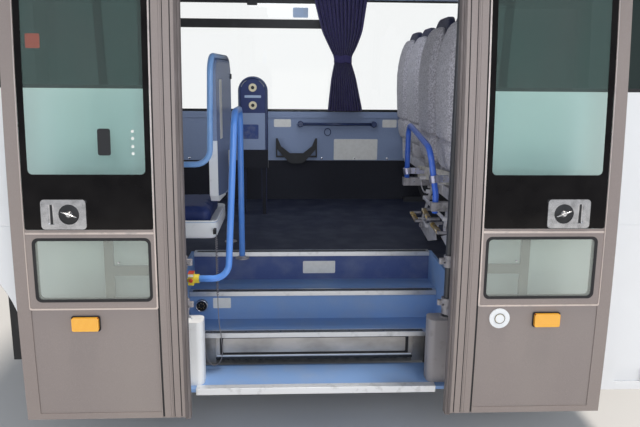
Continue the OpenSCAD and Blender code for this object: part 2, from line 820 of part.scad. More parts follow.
// Padded wheelchair backrest on its two legs
module backrest_board() color("#24407c") placed() {
    mid = (board_x[0] + board_x[1]) / 2;
    translate([0, board_y[1], 0]) rotate([90, 0, 0]) linear_extrude(board_y[1] - board_y[0]) {
        round_rect([board_x[0], board_z[0]], [board_x[1], board_z[1]], 20);
        translate([mid, board_z[1] - 1]) circle(r = (board_x[1] - board_x[0]) / 2, $fn = fine);
    }
    for (z = disc_z)
        translate([mid, board_y[0] + 1, z]) rotate([90, 0, 0]) cylinder(r = disc_r, h = 14, $fn = fine);
    for (x = [board_x[0] + disc_r, board_x[1] - disc_r])
        block([x - board_leg / 2, x + board_leg / 2], [board_y[0] + 12, board_y[1] - 12],
            [floor_z + seat_gap, board_z[0] + 10]);
}

// Thick moulded partition panel beside the wheelchair space
module partition_panel() color("#e9e9e6") placed()
    translate([PARTITION_RAIL[3][0], partition_y[1], 0]) rotate([0, 0, -partition_turn])
        translate([-partition_t / 2, 0, 0]) rotate([90, 0, 90]) linear_extrude(partition_t)
            round_rect([partition_y[0] - partition_y[1] + tube_r + edge_clear, partition_z[0]],
                [-tube_r - edge_clear, partition_z[1] - tube_r - seat_gap], bend_r);

// Blue tube that frames the partition panel
module partition_rail() color("#4f86d9") placed()
    bent_tube(PARTITION_RAIL, tube_r, bend_r);

// Light blue entry rail at the left of the doorway
module entry_rail() color("#8fb8f0") placed()
    bent_tube(ENTRY_RAIL, rail_r, bend_r);

// Blue handrail on the right, clamped to the seat frames
module right_rail() color("#3f74e0") placed()
    bent_tube(RIGHT_RAIL, tube_r, bend_r);

// Emergency switch box at the end of the entry rail, on a bracket from the well's cheek
module switch_box() color("#d8c83a") placed() {
    foot = ENTRY_RAIL[0];
    box_x = [foot[0] - 32, foot[0] - 3];
    block(box_x, [foot[1] - 24, foot[1] + 26], [foot[2] - 29, foot[2] + 31]);
    translate([box_x[1], foot[1], foot[2]]) rotate([0, 90, 0]) difference() {
        cylinder(r = rail_r + 6, h = 26, $fn = fine);
        translate([0, 0, 3 - seat_gap]) cylinder(r = rail_r + seat_gap, h = 40, $fn = fine);
    }
    block([-well_half + seat_gap, box_x[0]], [foot[1] + 10, foot[1] + 26], [foot[2] - 22, floor_z]);
}

// Folding seat beside the doorway: a moulded pan with a rim, its cushion, one leg
// and the socket of the lift's remote control
module fold_seat() color("#1f3f9a") placed() {
    difference() {
        pan_shell(0, pan_z);
        pan_shell(pan_wall, [pan_z[1] - pan_rim, pan_z[1] + 1]);
    }
    pan_shell(pan_wall + 2, [pan_z[1] - pan_rim, pan_z[1] + pad_h]);
    block(seat_leg_x, seat_leg_y, [floor_z + seat_gap, pan_z[0] + 1]);
    block([curl_x - socket_w / 2, curl_x + socket_w / 2 - 16], [curl_y - socket_w / 2, pan_y[0] + 1],
        [curl_z[1], curl_z[1] + 24]);
}
module pan_shell(wall, z)
    translate([0, 0, z[0]]) linear_extrude(z[1] - z[0])
        round_rect([pan_x[0] + wall, pan_y[0] + wall], [pan_x[1] - wall, pan_y[1] - wall], pan_r - wall);

// Cord of the lift's remote control: the plain stretch, and the curl as a fat tube
module remote_cord() color("#25262a") placed()
    swept_tube(smooth_line(CORD, 4), cord_r, cord_sides);
module cord_curl() color("#25262a") placed()
    rod([curl_x, curl_y, curl_z[0] + 0.1], [curl_x, curl_y, curl_z[1]], curl_r);

// Seat backs: upright, bowed towards the back in side view, with round corners
module seat_backs() color("#a3a6ad") placed()
    for (s = SEATS)
        translate([s[0] + back_set, s[1], seat_back_z]) intersection() {
            translate([-1, -seat_w / 2, 0]) rotate([90, 0, 90]) linear_extrude(foot_set + top_set + seat_back_t)
                round_rect([0, 0], [seat_w, seat_back_h], back_round);
            translate([0, seat_w / 2 + 1, 0]) rotate([90, 0, 0]) linear_extrude(seat_w + 2)
                polygon(concat([for (k = [0:12]) let(z = seat_back_h * k / 12) [back_rear(z), z]],
                    [[top_set + seat_top_t, seat_back_h], [foot_set + seat_back_t, 0]]));
        }
// How far a back's rear face lies forward of its rearmost point at a height
function back_rear(z) = z > bow_z ? top_set * pow((z - bow_z) / (seat_back_h - bow_z), 2)
    : foot_set * pow((bow_z - z) / bow_z, 2);

// Seat cushions
module seat_cushions() color("#a3a6ad") placed()
    for (s = SEATS)
        translate([s[0] + 40, s[1] - seat_w / 2, cushion_z]) linear_extrude(cushion_t)
            round_rect([0, 0], [cushion_d, seat_w], 40);

// Seat frames: one cast bench under each pair of seats, with legs
module seat_frames() color("#cfd1d3") placed()
    for (i = [0, 2]) {
        x = SEATS[i][0];
        y0 = SEATS[i][1] - seat_w / 2 - seat_gap - hinge_t;
        y1 = SEATS[i + 1][1] + seat_w / 2 + seat_gap + hinge_t;
        // Side plates carry each back at its lower corners
        for (k = [0, 1], m = [-1, 1])
            translate([x, SEATS[i + k][1] + m * (seat_w / 2 + seat_gap + hinge_t / 2) + hinge_t / 2, 0])
                rotate([90, 0, 0]) linear_extrude(hinge_t)
                    polygon(HINGE_PLATE);
        for (b = bench_beams)
            block([x + b, x + b + beam_w], [y0, y1], [bench_z, cushion_z - seat_gap]);
        for (y = [y0 + leg_inset, y1 - leg_inset]) {
            block([x + bench_beams[0], x + bench_beams[1] + beam_w], [y - rib_half, y + rib_half],
                [bench_z + rib_inset, cushion_z - rib_inset]);
            // A leg narrows from the bench to its foot
            translate([x, y + leg_t / 2, floor_z + seat_gap]) rotate([90, 0, 0]) linear_extrude(leg_t)
                polygon(LEG);
        }
    }

// Clamps that hold the right handrail to the seat frames
module rail_clamps() color("#cfd1d3") placed()
    for (c = [RIGHT_RAIL[0] + [0, 0, 22], RIGHT_RAIL[4] + [0, 0, 36]])
        difference() {
            block([c[0] - clamp_h / 2, SEATS[0][0] + bench_beams[0] - seat_gap],
                [c[1] - clamp_half, c[1] + clamp_half],
                [c[2] - clamp_h / 2, c[2] + clamp_h / 2]);
            translate([c[0], c[1], c[2] - clamp_h])
                cylinder(r = tube_r + seat_gap, h = 2 * clamp_h, $fn = fine);
        }

// Cross-section of the body above the windows, drawn in y and z
near_axis = [skin_r, skin_mid_z];
crown_axis = [mid_y, roof_z - crown_r];
axis_gap = norm(crown_axis - near_axis);
axis_dir = unit(crown_axis - near_axis);
cornice_a = (pow(skin_r - cornice_r, 2) - pow(crown_r - cornice_r, 2) + pow(axis_gap, 2)) / (2 * axis_gap);
cornice_b = sqrt(pow(skin_r - cornice_r, 2) - pow(cornice_a, 2));
cornice_axis = near_axis + axis_dir * cornice_a + [axis_dir[1], -axis_dir[0]] * cornice_b;

// Angles, seen from their own centres, at which the side, cornice and crown meet
side_end = asin((cornice_axis - near_axis)[1] / norm(cornice_axis - near_axis));
crown_start = atan2((cornice_axis - crown_axis)[1], (cornice_axis - crown_axis)[0]);

// Half of the section from the height z0 to the crown, as deep as the inset says
function half_section(inset, z0) = concat(
    [for (i = [0:4]) let(a = asin((z0 - skin_mid_z) / (skin_r - inset)), t = a + (side_end - a) * i / 4)
        near_axis + (skin_r - inset) * [-cos(t), sin(t)]],
    [for (i = [1:9]) let(t = 180 - side_end + (crown_start - 180 + side_end) * i / 9)
        cornice_axis + (cornice_r - inset) * [cos(t), sin(t)]],
    [for (i = [1:10]) let(t = crown_start + (90 - crown_start) * i / 10)
        crown_axis + (crown_r - inset) * [cos(t), sin(t)]]);
function far_half(half) = [for (i = [len(half) - 2:-1:0]) [bus_w - half[i][0], half[i][1]]];
function section(inset, z0) = concat(half_section(inset, z0), far_half(half_section(inset, z0)));
module roof_shell(x, inset, z0)
    translate([x[0], 0, 0]) rotate([90, 0, 90]) linear_extrude(x[1] - x[0])
        polygon(concat(section(inset[0], z0), backwards(section(inset[1], z0))));

// Outer roof panel
module roof_skin() color("#f1f1f0") placed()
    roof_shell([-half_len, half_len], [0, panel_t], cant_z0 + cant_h + 1);

// Roof hoops over the posts
module roof_hoops() color("#2b2c2f") placed()
    for (x = [-half_len, -jamb_x - post_w, jamb_x, half_len - post_w])
        roof_shell([x, x + post_w], [panel_t + seat_gap, panel_t + post_t], cant_z0 + cant_h + seat_gap);

// Ceiling lining
module ceiling() color("#d4d6d8") placed()
    roof_shell([-half_len, half_len], [trim_depth, trim_depth + trim_t], cant_z0 + 52);

// Column with its two goosenecked arms, drawn for the side of the doorway at +x
module column_and_arms() {
    translate([column_x, column_y, step1_z + 34])
        cylinder(r = column_r, h = arm_high_z + arm_h / 2 + 10 - step1_z - 34, $fn = fine);
    translate([column_x, column_y, arm_high_z])
        cylinder(r = pin_r, h = leaf_z1 + door_clear + 30 - arm_high_z, $fn = fine);
    translate([column_x, column_y, step1_z + seat_gap])
        cylinder(r = pin_r, h = 80, $fn = fine);
    for (z = [arm_low_z, arm_high_z]) {
        translate([0, 0, z - arm_h / 2]) linear_extrude(arm_h) difference() {
            union() {
                arm_bar([column_x, column_y], [arm_knee_x, arm_knee_y]);
                arm_bar([arm_knee_x, arm_knee_y], [pivot_open_x, pivot_open_y]);
                translate([column_x, column_y]) circle(r = column_r + 8, $fn = fine);
                translate([pivot_open_x, pivot_open_y]) circle(r = arm_eye_r, $fn = fine);
            }
            translate([pivot_open_x, pivot_open_y]) circle(r = pin_r + pin_clear, $fn = fine);
        }
    }
    // Cast collars with a lug towards the doorway
    for (c = COLLARS)
        translate([column_x, column_y, c[0]]) {
            cylinder(r = c[2], h = c[1], $fn = fine);
            translate([0, 0, c[1] / 4]) linear_extrude(c[1] / 2)
                arm_bar([0, 0], [-collar_reach, 0]);
        }
}
module arm_bar(a, b) {
    run = norm(b - a);
    translate(a) rotate(atan2(b[1] - a[1], b[0] - a[0])) translate([0, -arm_w / 2]) square([run, arm_w]);
    translate(b) circle(r = arm_w / 2, $fn = fine);
}
module left_column() color("#5b5d60") placed() mirror([1, 0, 0]) column_and_arms();
module right_column() color("#5b5d60") placed() column_and_arms();

// Places a leaf's pieces, drawn closed with x measured from the meeting edge,
// at the open place on the side of the doorway that s names
module open_leaf(s)
    mirror([s < 0 ? 1 : 0, 0, 0]) translate([leaf_open_x, -leaf_out, 0]) children();

// Window opening of a leaf as a prism right through it
module leaf_cut(u, z, r) wall_prism(u, [-60, 500], z, r);

// Grooves in a sheet that stands from z0 to z1: from, to and depth in each row
module grooves(rows, z0, z1)
    for (g = rows)
        skin_band([g[0], g[1]], [-1, g[2]], [z0 - 1, z1 + 1]);

// Leaf frame: two stiles and the cross rails, with the two inner brackets
module leaf_frame() {
    difference() {
        skin_band([seal_w + seat_gap, leaf_w], [0, leaf_t], [leaf_z0, leaf_z1]);
        leaf_cut(leaf_glass_u, [leaf_glass_z0, leaf_z1 - leaf_rail_h], corner_r / 2);
        leaf_cut(leaf_win_u, [leaf_win_z0, leaf_win_z1], corner_r);
        skin_band(leaf_glass_u, [-1, leaf_skin_t], [leaf_z0 + kick_edge, kick_top_z - kick_lip]);
        grooves(STILE_GROOVES, leaf_z0, leaf_z1);
    }
    skin_band([meet_stile_w - 20, leaf_w - back_stile_w + 20], inner_bar_depth,
        [arm_high_z - top_bar_half, arm_high_z + top_bar_half]);
    // Bars behind the lower window
    skin_band([pivot_u - inner_bar_w / 2, pivot_u + inner_bar_w / 2], inner_bar_depth,
        [leaf_win_z0 - 5, leaf_win_z1 + 5]);
    skin_band([leaf_win_u[0] - 5, pivot_u], inner_bar_depth, inner_bar_z);
    for (z = [arm_low_z, arm_high_z])
        leaf_bracket(z);
}

// Fork that carries a leaf on an arm's end, with its pin
module leaf_bracket(z) {
    back = skin_y(z) + leaf_t;
    eye = pivot_open_y + leaf_out;
    for (m = [-1, 1])
        translate([0, 0, z + m * (arm_h / 2 + 1 + lug_t / 2) - lug_t / 2]) linear_extrude(lug_t) {
            translate([pivot_u - fork_r, back - 6]) square([2 * fork_r, eye - back + 6]);
            translate([pivot_u, eye]) circle(r = fork_r, $fn = fine);
        }
    translate([pivot_u, eye, z - arm_h / 2 - 1 - lug_t])
        cylinder(r = pin_r, h = arm_h + 2 + 2 * lug_t, $fn = fine);
    block([pivot_u - plate_reach, pivot_u + plate_reach], [back - 10, back + 8],
        [z - plate_half, z + plate_half]);
}

// Flat lower panel of a leaf
module leaf_panel()
    skin_band([leaf_glass_u[0] + seat_gap, leaf_glass_u[1] - seat_gap], [3, leaf_skin_t - seat_gap],
        [leaf_z0 + kick_edge + seat_gap, kick_top_z - kick_lip - seat_gap]);

// Pane set in an opening of a leaf
module leaf_pane(u, z, depth, r)
    intersection() {
        skin_band(u, [depth, depth + glass_t], z);
        leaf_cut([u[0] + seat_gap, u[1] - seat_gap], [z[0] + seat_gap, z[1] - seat_gap], r);
    }
module leaf_glass() leaf_pane(leaf_glass_u, [leaf_glass_z0, leaf_z1 - leaf_rail_h], 2, corner_r / 2);
module leaf_window() leaf_pane(leaf_win_u, [leaf_win_z0, leaf_win_z1], 3, corner_r);

// Rubber lip along the meeting edge
module leaf_seal()
    difference() {
        skin_band([0, seal_w], [0, leaf_t], [leaf_z0 - 8, leaf_z1]);
        grooves(SEAL_GROOVES, leaf_z0 - 8, leaf_z1);
    }

// Lock plate with a round turning lock and a grip slot
module leaf_lock() {
    mid_z = lock_z0 + lock_h / 2;
    face = skin_y(mid_z);
    intersection() {
        difference() {
            skin_band([lock_u, lock_u + lock_w], [-10, 2 - seat_gap], [lock_z0, lock_z0 + lock_h]);
            translate([lock_disc_u, face - 4, mid_z]) rotate([90, 0, 0])
                cylinder(r = lock_disc_r, h = 20, $fn = fine);
            wall_prism(lock_slot_u, [-20, face - 4], [lock_z0 + 22, lock_z0 + lock_h - 22], 4);
        }
        leaf_cut([lock_u, lock_u + lock_w], [lock_z0, lock_z0 + lock_h], 16);
    }
    translate([lock_disc_u, face - 3, mid_z]) rotate([90, 0, 0])
        cylinder(r = lock_knob_r, h = 8, $fn = fine);
}

// Orange side marker lamp
module leaf_lamp() {
    face = skin_y(lamp_z) + 3;
    wall_prism([lamp_u - lamp_w / 2, lamp_u + lamp_w / 2], [face - 22, face - seat_gap],
        [lamp_z - lamp_h / 2, lamp_z + lamp_h / 2], 8);
}

module left_leaf_frame() color("#968a87") placed() open_leaf(-1) leaf_frame();
module left_leaf_panel() color("#948885") placed() open_leaf(-1) leaf_panel();
module left_leaf_glass() color("#9fc4bf", 0.5) placed() open_leaf(-1) leaf_glass();
module left_leaf_window() color("#9fc4bf", 0.5) placed() open_leaf(-1) leaf_window();
module left_leaf_seal() color("#7b7472") placed() open_leaf(-1) leaf_seal();
module left_leaf_lock() color("#d5d5d6") placed() open_leaf(-1) leaf_lock();
module left_leaf_lamp() color("#f0961e") placed() open_leaf(-1) leaf_lamp();
module right_leaf_frame() color("#968a87") placed() open_leaf(1) leaf_frame();
module right_leaf_panel() color("#948885") placed() open_leaf(1) leaf_panel();
module right_leaf_glass() color("#9fc4bf", 0.5) placed() open_leaf(1) leaf_glass();
module right_leaf_window() color("#9fc4bf", 0.5) placed() open_leaf(1) leaf_window();
module right_leaf_seal() color("#7b7472") placed() open_leaf(1) leaf_seal();
module right_leaf_lock() color("#d5d5d6") placed() open_leaf(1) leaf_lock();
module right_leaf_lamp() color("#f0961e") placed() open_leaf(1) leaf_lamp();

// Round white button on the front leaf
module right_leaf_button() color("#f4f3ee") placed() open_leaf(1)
    translate([button_u, skin_y(button_z) + 3 - seat_gap, button_z]) rotate([90, 0, 0]) {
        cylinder(r = button_r, h = 8, $fn = fine);
        cylinder(r = 20, h = 12, $fn = fine);
    }

underframe();
wheel_liner();
floor_deck();
step_well();
step_nosings();
entry_sill();
lift_cassette();
cassette_brush();
foot_covers();
riser_socket();
near_frame();
near_panel_rear();
near_panel_front();
near_glass_rear();
near_glass_front();
door_header();
far_frame();
far_panel();
far_glass();
far_hopper();
far_trim();
far_kick();
near_trim();
far_grab_rail();
restraint_bracket();
curtain();
curtain_rail();
backrest_board();
partition_panel();
partition_rail();
entry_rail();
right_rail();
switch_box();
fold_seat();
remote_cord();
cord_curl();
seat_backs();
seat_cushions();
seat_frames();
rail_clamps();
roof_skin();
roof_hoops();
ceiling();
left_column();
left_leaf_frame();
left_leaf_panel();
left_leaf_glass();
left_leaf_window();
left_leaf_seal();
left_leaf_lock();
left_leaf_lamp();
right_column();
right_leaf_frame();
right_leaf_panel();
right_leaf_glass();
right_leaf_window();
right_leaf_seal();
right_leaf_lock();
right_leaf_lamp();
right_leaf_button();
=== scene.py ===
"""Looks of a bus's middle entrance bay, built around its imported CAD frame.

Lengths are metres and names that end in _mm are millimetres. Places are given as
in the bus: x along it from the doorway's middle, y inwards from the near skin and
z above the road. row() turns them into the frame's own coordinates.
"""

import logging
import math
from dataclasses import dataclass
from enum import Enum
from typing import Any, Callable, Iterable, Sequence

import bmesh
import bpy
from mathutils import Matrix, Vector


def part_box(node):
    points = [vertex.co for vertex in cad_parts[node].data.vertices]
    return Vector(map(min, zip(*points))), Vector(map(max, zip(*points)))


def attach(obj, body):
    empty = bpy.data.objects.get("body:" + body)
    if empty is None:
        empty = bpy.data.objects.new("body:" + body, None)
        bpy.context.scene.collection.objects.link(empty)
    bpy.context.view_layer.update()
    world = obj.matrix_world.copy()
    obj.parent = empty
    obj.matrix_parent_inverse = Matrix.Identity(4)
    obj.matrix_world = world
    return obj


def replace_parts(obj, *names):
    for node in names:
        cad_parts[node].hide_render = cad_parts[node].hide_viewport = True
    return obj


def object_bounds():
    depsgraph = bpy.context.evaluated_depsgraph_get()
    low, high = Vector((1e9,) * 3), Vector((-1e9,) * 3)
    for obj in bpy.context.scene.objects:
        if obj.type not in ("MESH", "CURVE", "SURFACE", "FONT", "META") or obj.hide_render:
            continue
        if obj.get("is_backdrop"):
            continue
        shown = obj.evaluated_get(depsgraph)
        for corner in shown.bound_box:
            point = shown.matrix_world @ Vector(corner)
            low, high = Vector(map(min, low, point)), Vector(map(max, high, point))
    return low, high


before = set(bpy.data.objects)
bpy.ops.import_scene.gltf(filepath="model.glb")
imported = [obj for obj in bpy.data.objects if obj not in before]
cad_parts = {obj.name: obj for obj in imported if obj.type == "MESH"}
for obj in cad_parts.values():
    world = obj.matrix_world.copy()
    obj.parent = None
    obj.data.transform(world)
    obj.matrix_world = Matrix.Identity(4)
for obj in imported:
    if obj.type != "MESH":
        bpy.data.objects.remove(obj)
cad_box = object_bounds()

MM = 0.001
BUS_MID = 1.275
MOUNT_HEIGHT = 0.548
SKIN_RADIUS = 12.146
SKIN_MID_HEIGHT = 0.873
LINING_DEPTH = 0.0773
LEAF_TRAVEL = 0.600
LEAF_STANDOFF = 0.200

Pair = tuple[float, float]
Place = Callable[[float, float, float], Vector]
Triple = tuple[float, float, float]
INWARDS = Vector((0, 1, 0))
UPWARDS = Vector((0, 0, 1))
log = logging.getLogger("entrance_bay")


class Side(Enum):
    """The two sides of the doorway, as a sign along x."""

    LEFT = -1
    RIGHT = 1

    @property
    def word(self) -> str:
        """The side's name as the CAD nodes write it."""
        return self.name.lower()


# Places


def row(x: float, y: float, z: float) -> Vector:
    """Turns a place in the bus into the frame's coordinates."""
    return Vector((x, y - BUS_MID, z - MOUNT_HEIGHT))


def skin(z: float) -> float:
    """How far the curved side wall lies inwards at a height."""
    return SKIN_RADIUS - math.sqrt(SKIN_RADIUS**2 - (z - SKIN_MID_HEIGHT) ** 2)


def on_near_skin(x: float, z: float, depth: float) -> Vector:
    """A point on the near side wall, at a depth behind its skin."""
    return row(x, skin(z) + depth, z)


def on_far_lining(x: float, z: float, proud: float) -> Vector:
    """A point on the far wall's lining, standing proud into the bus."""
    return row(x, 2 * BUS_MID - LINING_DEPTH - skin(z) - proud, z)


def on_far_skin(x: float, z: float, depth: float) -> Vector:
    """A point on the far side wall, at a depth behind its skin."""
    return row(x, 2 * BUS_MID - skin(z) - depth, z)


def side_on(x: float) -> Place:
    """Makes a place function for an upright plate that stands across the bus's side at x."""
    return lambda y, z, depth: row(x + depth, y, z)


def facing(y: float) -> Place:
    """Makes a place function for an upright plate whose face is at y."""
    return lambda x, z, depth: row(x, y + depth, z)


def smoothstep(low: float, high: float, value: float) -> float:
    """Rises from 0 to 1 without a corner.

    Args:
        low: where the rise starts.
        high: where it ends.
        value: the place to read it at.

    Returns:
        The height at value.
    """
    t = min(1.0, max(0.0, (value - low) / (high - low)))
    return t * t * (3 - 2 * t)


def between(stops: Sequence[Sequence[float]], at: float, column: int = 1) -> float:
    """Reads a table between its rows.

    Args:
        stops: the table's rows, whose first column rises.
        at: the value of the first column to read at.
        column: the column to read.

    Returns:
        The column's value there.
    """
    for low, high in zip(stops, stops[1:]):
        if at <= high[0]:
            t = (at - low[0]) / (high[0] - low[0])
            return low[column] + (high[column] - low[column]) * max(0.0, t)
    return stops[-1][column]


# Outlines and meshes


def round_outline(a: Pair, b: Pair, radius: float, arc: int = 5, along: int = 1) -> list[Pair]:
    """Outline of a rectangle with round corners.

    Args:
        a: lowest corner.
        b: highest corner.
        radius: radius of the corners.
        arc: steps in each corner.
        along: steps along each straight side, for outlines laid on a curved wall.

    Returns:
        The outline's points, counter-clockwise.
    """
    centres = [(b[0] - radius, a[1] + radius), (b[0] - radius, b[1] - radius),
               (a[0] + radius, b[1] - radius), (a[0] + radius, a[1] + radius)]
    points: list[Pair] = []
    for quarter, (cx, cy) in enumerate(centres):
        start = -math.pi / 2 + quarter * math.pi / 2
        corner = [(cx + radius * math.cos(start + t * math.pi / 2 / arc),
                   cy + radius * math.sin(start + t * math.pi / 2 / arc)) for t in range(arc + 1)]
        if points and along > 1:
            points += lerp_pairs(points[-1], corner[0], along)
        points += corner
    if along > 1:
        points += lerp_pairs(points[-1], points[0], along)
    return points


def lerp_pairs(a: Pair, b: Pair, steps: int) -> list[Pair]:
    """Points between a and b, without the two ends."""
    return [(a[0] + (b[0] - a[0]) * k / steps, a[1] + (b[1] - a[1]) * k / steps)
            for k in range(1, steps)]


def mix_outlines(outer: Sequence[Pair], inner: Sequence[Pair], share: float) -> list[Pair]:
    """An outline between two others that have as many points."""
    return [(a[0] + (b[0] - a[0]) * share, a[1] + (b[1] - a[1]) * share) for a, b in zip(outer, inner)]


def disc_outline(centre: Pair, radius: float, steps: int = 32) -> list[Pair]:
    """Outline of a disc."""
    return [(centre[0] + radius * math.cos(2 * math.pi * k / steps),
             centre[1] + radius * math.sin(2 * math.pi * k / steps)) for k in range(steps)]


def smooth_path(points: Sequence[Vector], steps: int = 6) -> list[Vector]:
    """Lays a smooth line through points.

    Args:
        points: what the line goes through.
        steps: how many steps it takes from one to the next.

    Returns:
        The line's points.
    """
    line: list[Vector] = []
    for i in range(len(points) - 1):
        a, b = points[max(i - 1, 0)], points[i]
        c, d = points[i + 1], points[min(i + 2, len(points) - 1)]
        for k in range(steps):
            t = k / steps
            line.append(b + t * (c - a) / 2 + t * t * (2 * a - 5 * b + 4 * c - d) / 2
                        + t**3 * (3 * b - a - 3 * c + d) / 2)
    line.append(points[-1].copy())
    return line


def ring_path(place: Place, centre: Pair, radii: Pair, depth: float, steps: int) -> list[Vector]:
    """The points of a round or oval line that ends where it starts."""
    turns = (2 * math.pi * k / steps for k in range(steps + 1))
    return [place(centre[0] + radii[0] * math.cos(a), centre[1] + radii[1] * math.sin(a), depth)
            for a in turns]


def show(name: str, data: bpy.types.ID) -> bpy.types.Object:
    """Makes an object from its data and links it into the scene."""
    obj = bpy.data.objects.new(name, data)
    bpy.context.scene.collection.objects.link(obj)
    return obj


class Shape:
    """The mesh of one piece while it is being made, in the frame's metres."""

    def __init__(self) -> None:
        """Starts an empty mesh."""
        self.mesh = bmesh.new()

    def loops(self, rings: Sequence[Sequence[Vector]], closed: bool = True, capped: bool = True
              ) -> "Shape":
        """Joins rings of points, each with as many points, into a skin.

        Args:
            rings: the rings in order.
            closed: whether the last point of a ring joins the first.
            capped: whether the first and last rings are filled.

        Returns:
            The shape itself.
        """
        made = [[self.mesh.verts.new(p) for p in ring] for ring in rings]
        count = len(made[0])
        for low, high in zip(made, made[1:]):
            for k in range(count if closed else count - 1):
                n = (k + 1) % count
                self.mesh.faces.new((low[k], low[n], high[n], high[k]))
        if capped and closed:
            self.mesh.faces.new(list(reversed(made[0])))
            self.mesh.faces.new(made[-1])
        return self

    def plate(self, outline: Sequence[Pair], place: Place, depths: Pair) -> "Shape":
        """Adds a plate: an outline laid out by place between two depths."""
        return self.loops([[place(a, b, d) for a, b in outline] for d in depths])

    def frame(self, outer: Sequence[Pair], inner: Sequence[Pair], place: Place, depths: Pair,
              steps: int = 1) -> "Shape":
        """Adds a flat frame.

        Args:
            outer: its outer outline.
            inner: its inner outline, with as many points.
            place: what lays the outlines out.
            depths: where its front and back lie.
            steps: steps across its width, for a frame laid on a curved wall.

        Returns:
            The shape itself.
        """
        stops = [(k / steps, depths[0]) for k in range(steps + 1)]
        stops += [(1 - k / steps, depths[1]) for k in range(steps + 1)]
        rings = [[place(*pair, depth) for pair in mix_outlines(outer, inner, share)]
                 for share, depth in stops]
        return self.loops(rings + [rings[0]], capped=False)

    def tube(self, path: Sequence[Vector], radius: float | Sequence[float], sides: int = 12,
             flat: float = 1.0) -> "Shape":
        """Adds a round tube along a path.

        Args:
            path: the points of the middle line.
            radius: the radius, or one for each point.
            sides: corners of the tube's section.
            flat: the section's second width as a share of its first.

        Returns:
            The shape itself.
        """
        radii = [radius] * len(path) if isinstance(radius, (int, float)) else list(radius)
        rings: list[list[Vector]] = []
        across: Vector | None = None
        for i, point in enumerate(path):
            along = (path[min(i + 1, len(path) - 1)] - path[max(i - 1, 0)]).normalized()
            if across is None:
                across = along.cross(Vector((0, 0, 1)) if abs(along.z) < 0.9 else Vector((0, 1, 0)))
            across = (across - along * across.dot(along)).normalized()
            up = along.cross(across)
            rings.append([point + radii[i] * (math.cos(2 * math.pi * k / sides) * across
                                              + flat * math.sin(2 * math.pi * k / sides) * up)
                          for k in range(sides)])
        return self.loops(rings)

    def lathe(self, profile: Sequence[Pair], centre: Vector, axis: Vector, sides: int = 32) -> "Shape":
        """Adds a turned form.

        Args:
            profile: radius and distance along the axis of each point.
            centre: where the axis starts.
            axis: direction of the axis.
            sides: steps around it.

        Returns:
            The shape itself.
        """
        axis = axis.normalized()
        side = axis.cross(Vector((0, 0, 1)) if abs(axis.z) < 0.9 else Vector((1, 0, 0))).normalized()
        up = axis.cross(side)
        return self.loops([[centre + axis * h + r * (math.cos(2 * math.pi * k / sides) * side
                                                     + math.sin(2 * math.pi * k / sides) * up)
                            for k in range(sides)] for r, h in profile])

    def lathes(self, profile: Sequence[Pair], centres: Iterable[Vector], axis: Vector = INWARDS,
               sides: int = 12) -> "Shape":
        """Adds the same turned form at many places."""
        for centre in centres:
            self.lathe(profile, centre, axis, sides)
        return self

    def box(self, low: Vector, high: Vector) -> "Shape":
        """Adds a block between two corners."""
        ring = [(low.x, low.y), (high.x, low.y), (high.x, high.y), (low.x, high.y)]
        return self.loops([[Vector((x, y, z)) for x, y in ring] for z in (low.z, high.z)])

    def data(self, name: str, finish: "Finish") -> bpy.types.Mesh:
        """Ends the work on the mesh and gives it its finish."""
        bmesh.ops.recalc_face_normals(self.mesh, faces=self.mesh.faces)
        data = bpy.data.meshes.new(name)
        self.mesh.to_mesh(data)
        self.mesh.free()
        data.materials.append(finish.material())
        return data

    def piece(self, name: str, finish: "Finish", slot: str, edge_mm: float = 0.0, body: str = "bay",
              smooth_deg: float = 40.0) -> bpy.types.Object:
        """Turns the mesh into a piece that rides on a CAD body.

        Args:
            name: the piece's name.
            finish: its surface finish.
            slot: the record's material slot; not used.
            edge_mm: how far its edges are rounded, 0 for none.
            body: the CAD body that it moves with.
            smooth_deg: faces that meet at less than this angle are shaded smooth.

        Returns:
            The new object.
        """
        data = self.data(name, finish)
        obj = show(name, data)
        shade_smooth(data, smooth_deg)
        if edge_mm > 0:
            round_edges(obj, edge_mm)
        return seat(obj, body, slot)


def shade_smooth(data: bpy.types.Mesh, angle_deg: float) -> None:
    """Shades a mesh smooth apart from edges sharper than the angle."""
    data.shade_smooth()
    data.set_sharp_from_angle(angle=math.radians(angle_deg))


def round_edges(obj: bpy.types.Object, edge_mm: float) -> None:
    """Rounds a piece's sharp edges with a narrow bevel, so that they catch light."""
    bevel = obj.modifiers.new("round_edges", "BEVEL")
    bevel.width = edge_mm * MM
    bevel.segments = 2
    bevel.limit_method = "ANGLE"
    bevel.angle_limit = math.radians(38)
    normals = obj.modifiers.new("even_shading", "WEIGHTED_NORMAL")
    normals.keep_sharp = False


def seat(obj: bpy.types.Object, body: str, slot: str) -> bpy.types.Object:
    """Makes a piece ride on a CAD body."""
    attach(obj, body)
    return obj


def keep_inside(obj: bpy.types.Object, low: Vector, high: Vector) -> None:
    """Holds every point of a soft piece inside a box."""
    for vertex in obj.data.vertices:
        for axis in range(3):
            vertex.co[axis] = min(max(vertex.co[axis], low[axis]), high[axis])


def dress(nodes: Iterable[str], finish: "Finish", edge_mm: float = 1.2) -> None:
    """Gives CAD nodes a finish, and rounds their edges without changing their mesh.

    Args:
        nodes: the nodes' names.
        finish: the finish of their surface.
        edge_mm: how far their edges are rounded, 0 for none.
    """
    for name in nodes:
        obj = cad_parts[name]
        obj.data.materials.clear()
        obj.data.materials.append(finish.material())
        obj.data.shade_smooth()
        weld = obj.modifiers.new("weld", "WELD")
        weld.merge_threshold = 0.01 * MM
        if edge_mm > 0:
            round_edges(obj, edge_mm)
    log.info("dressed %s in %s", ", ".join(nodes), finish.name)


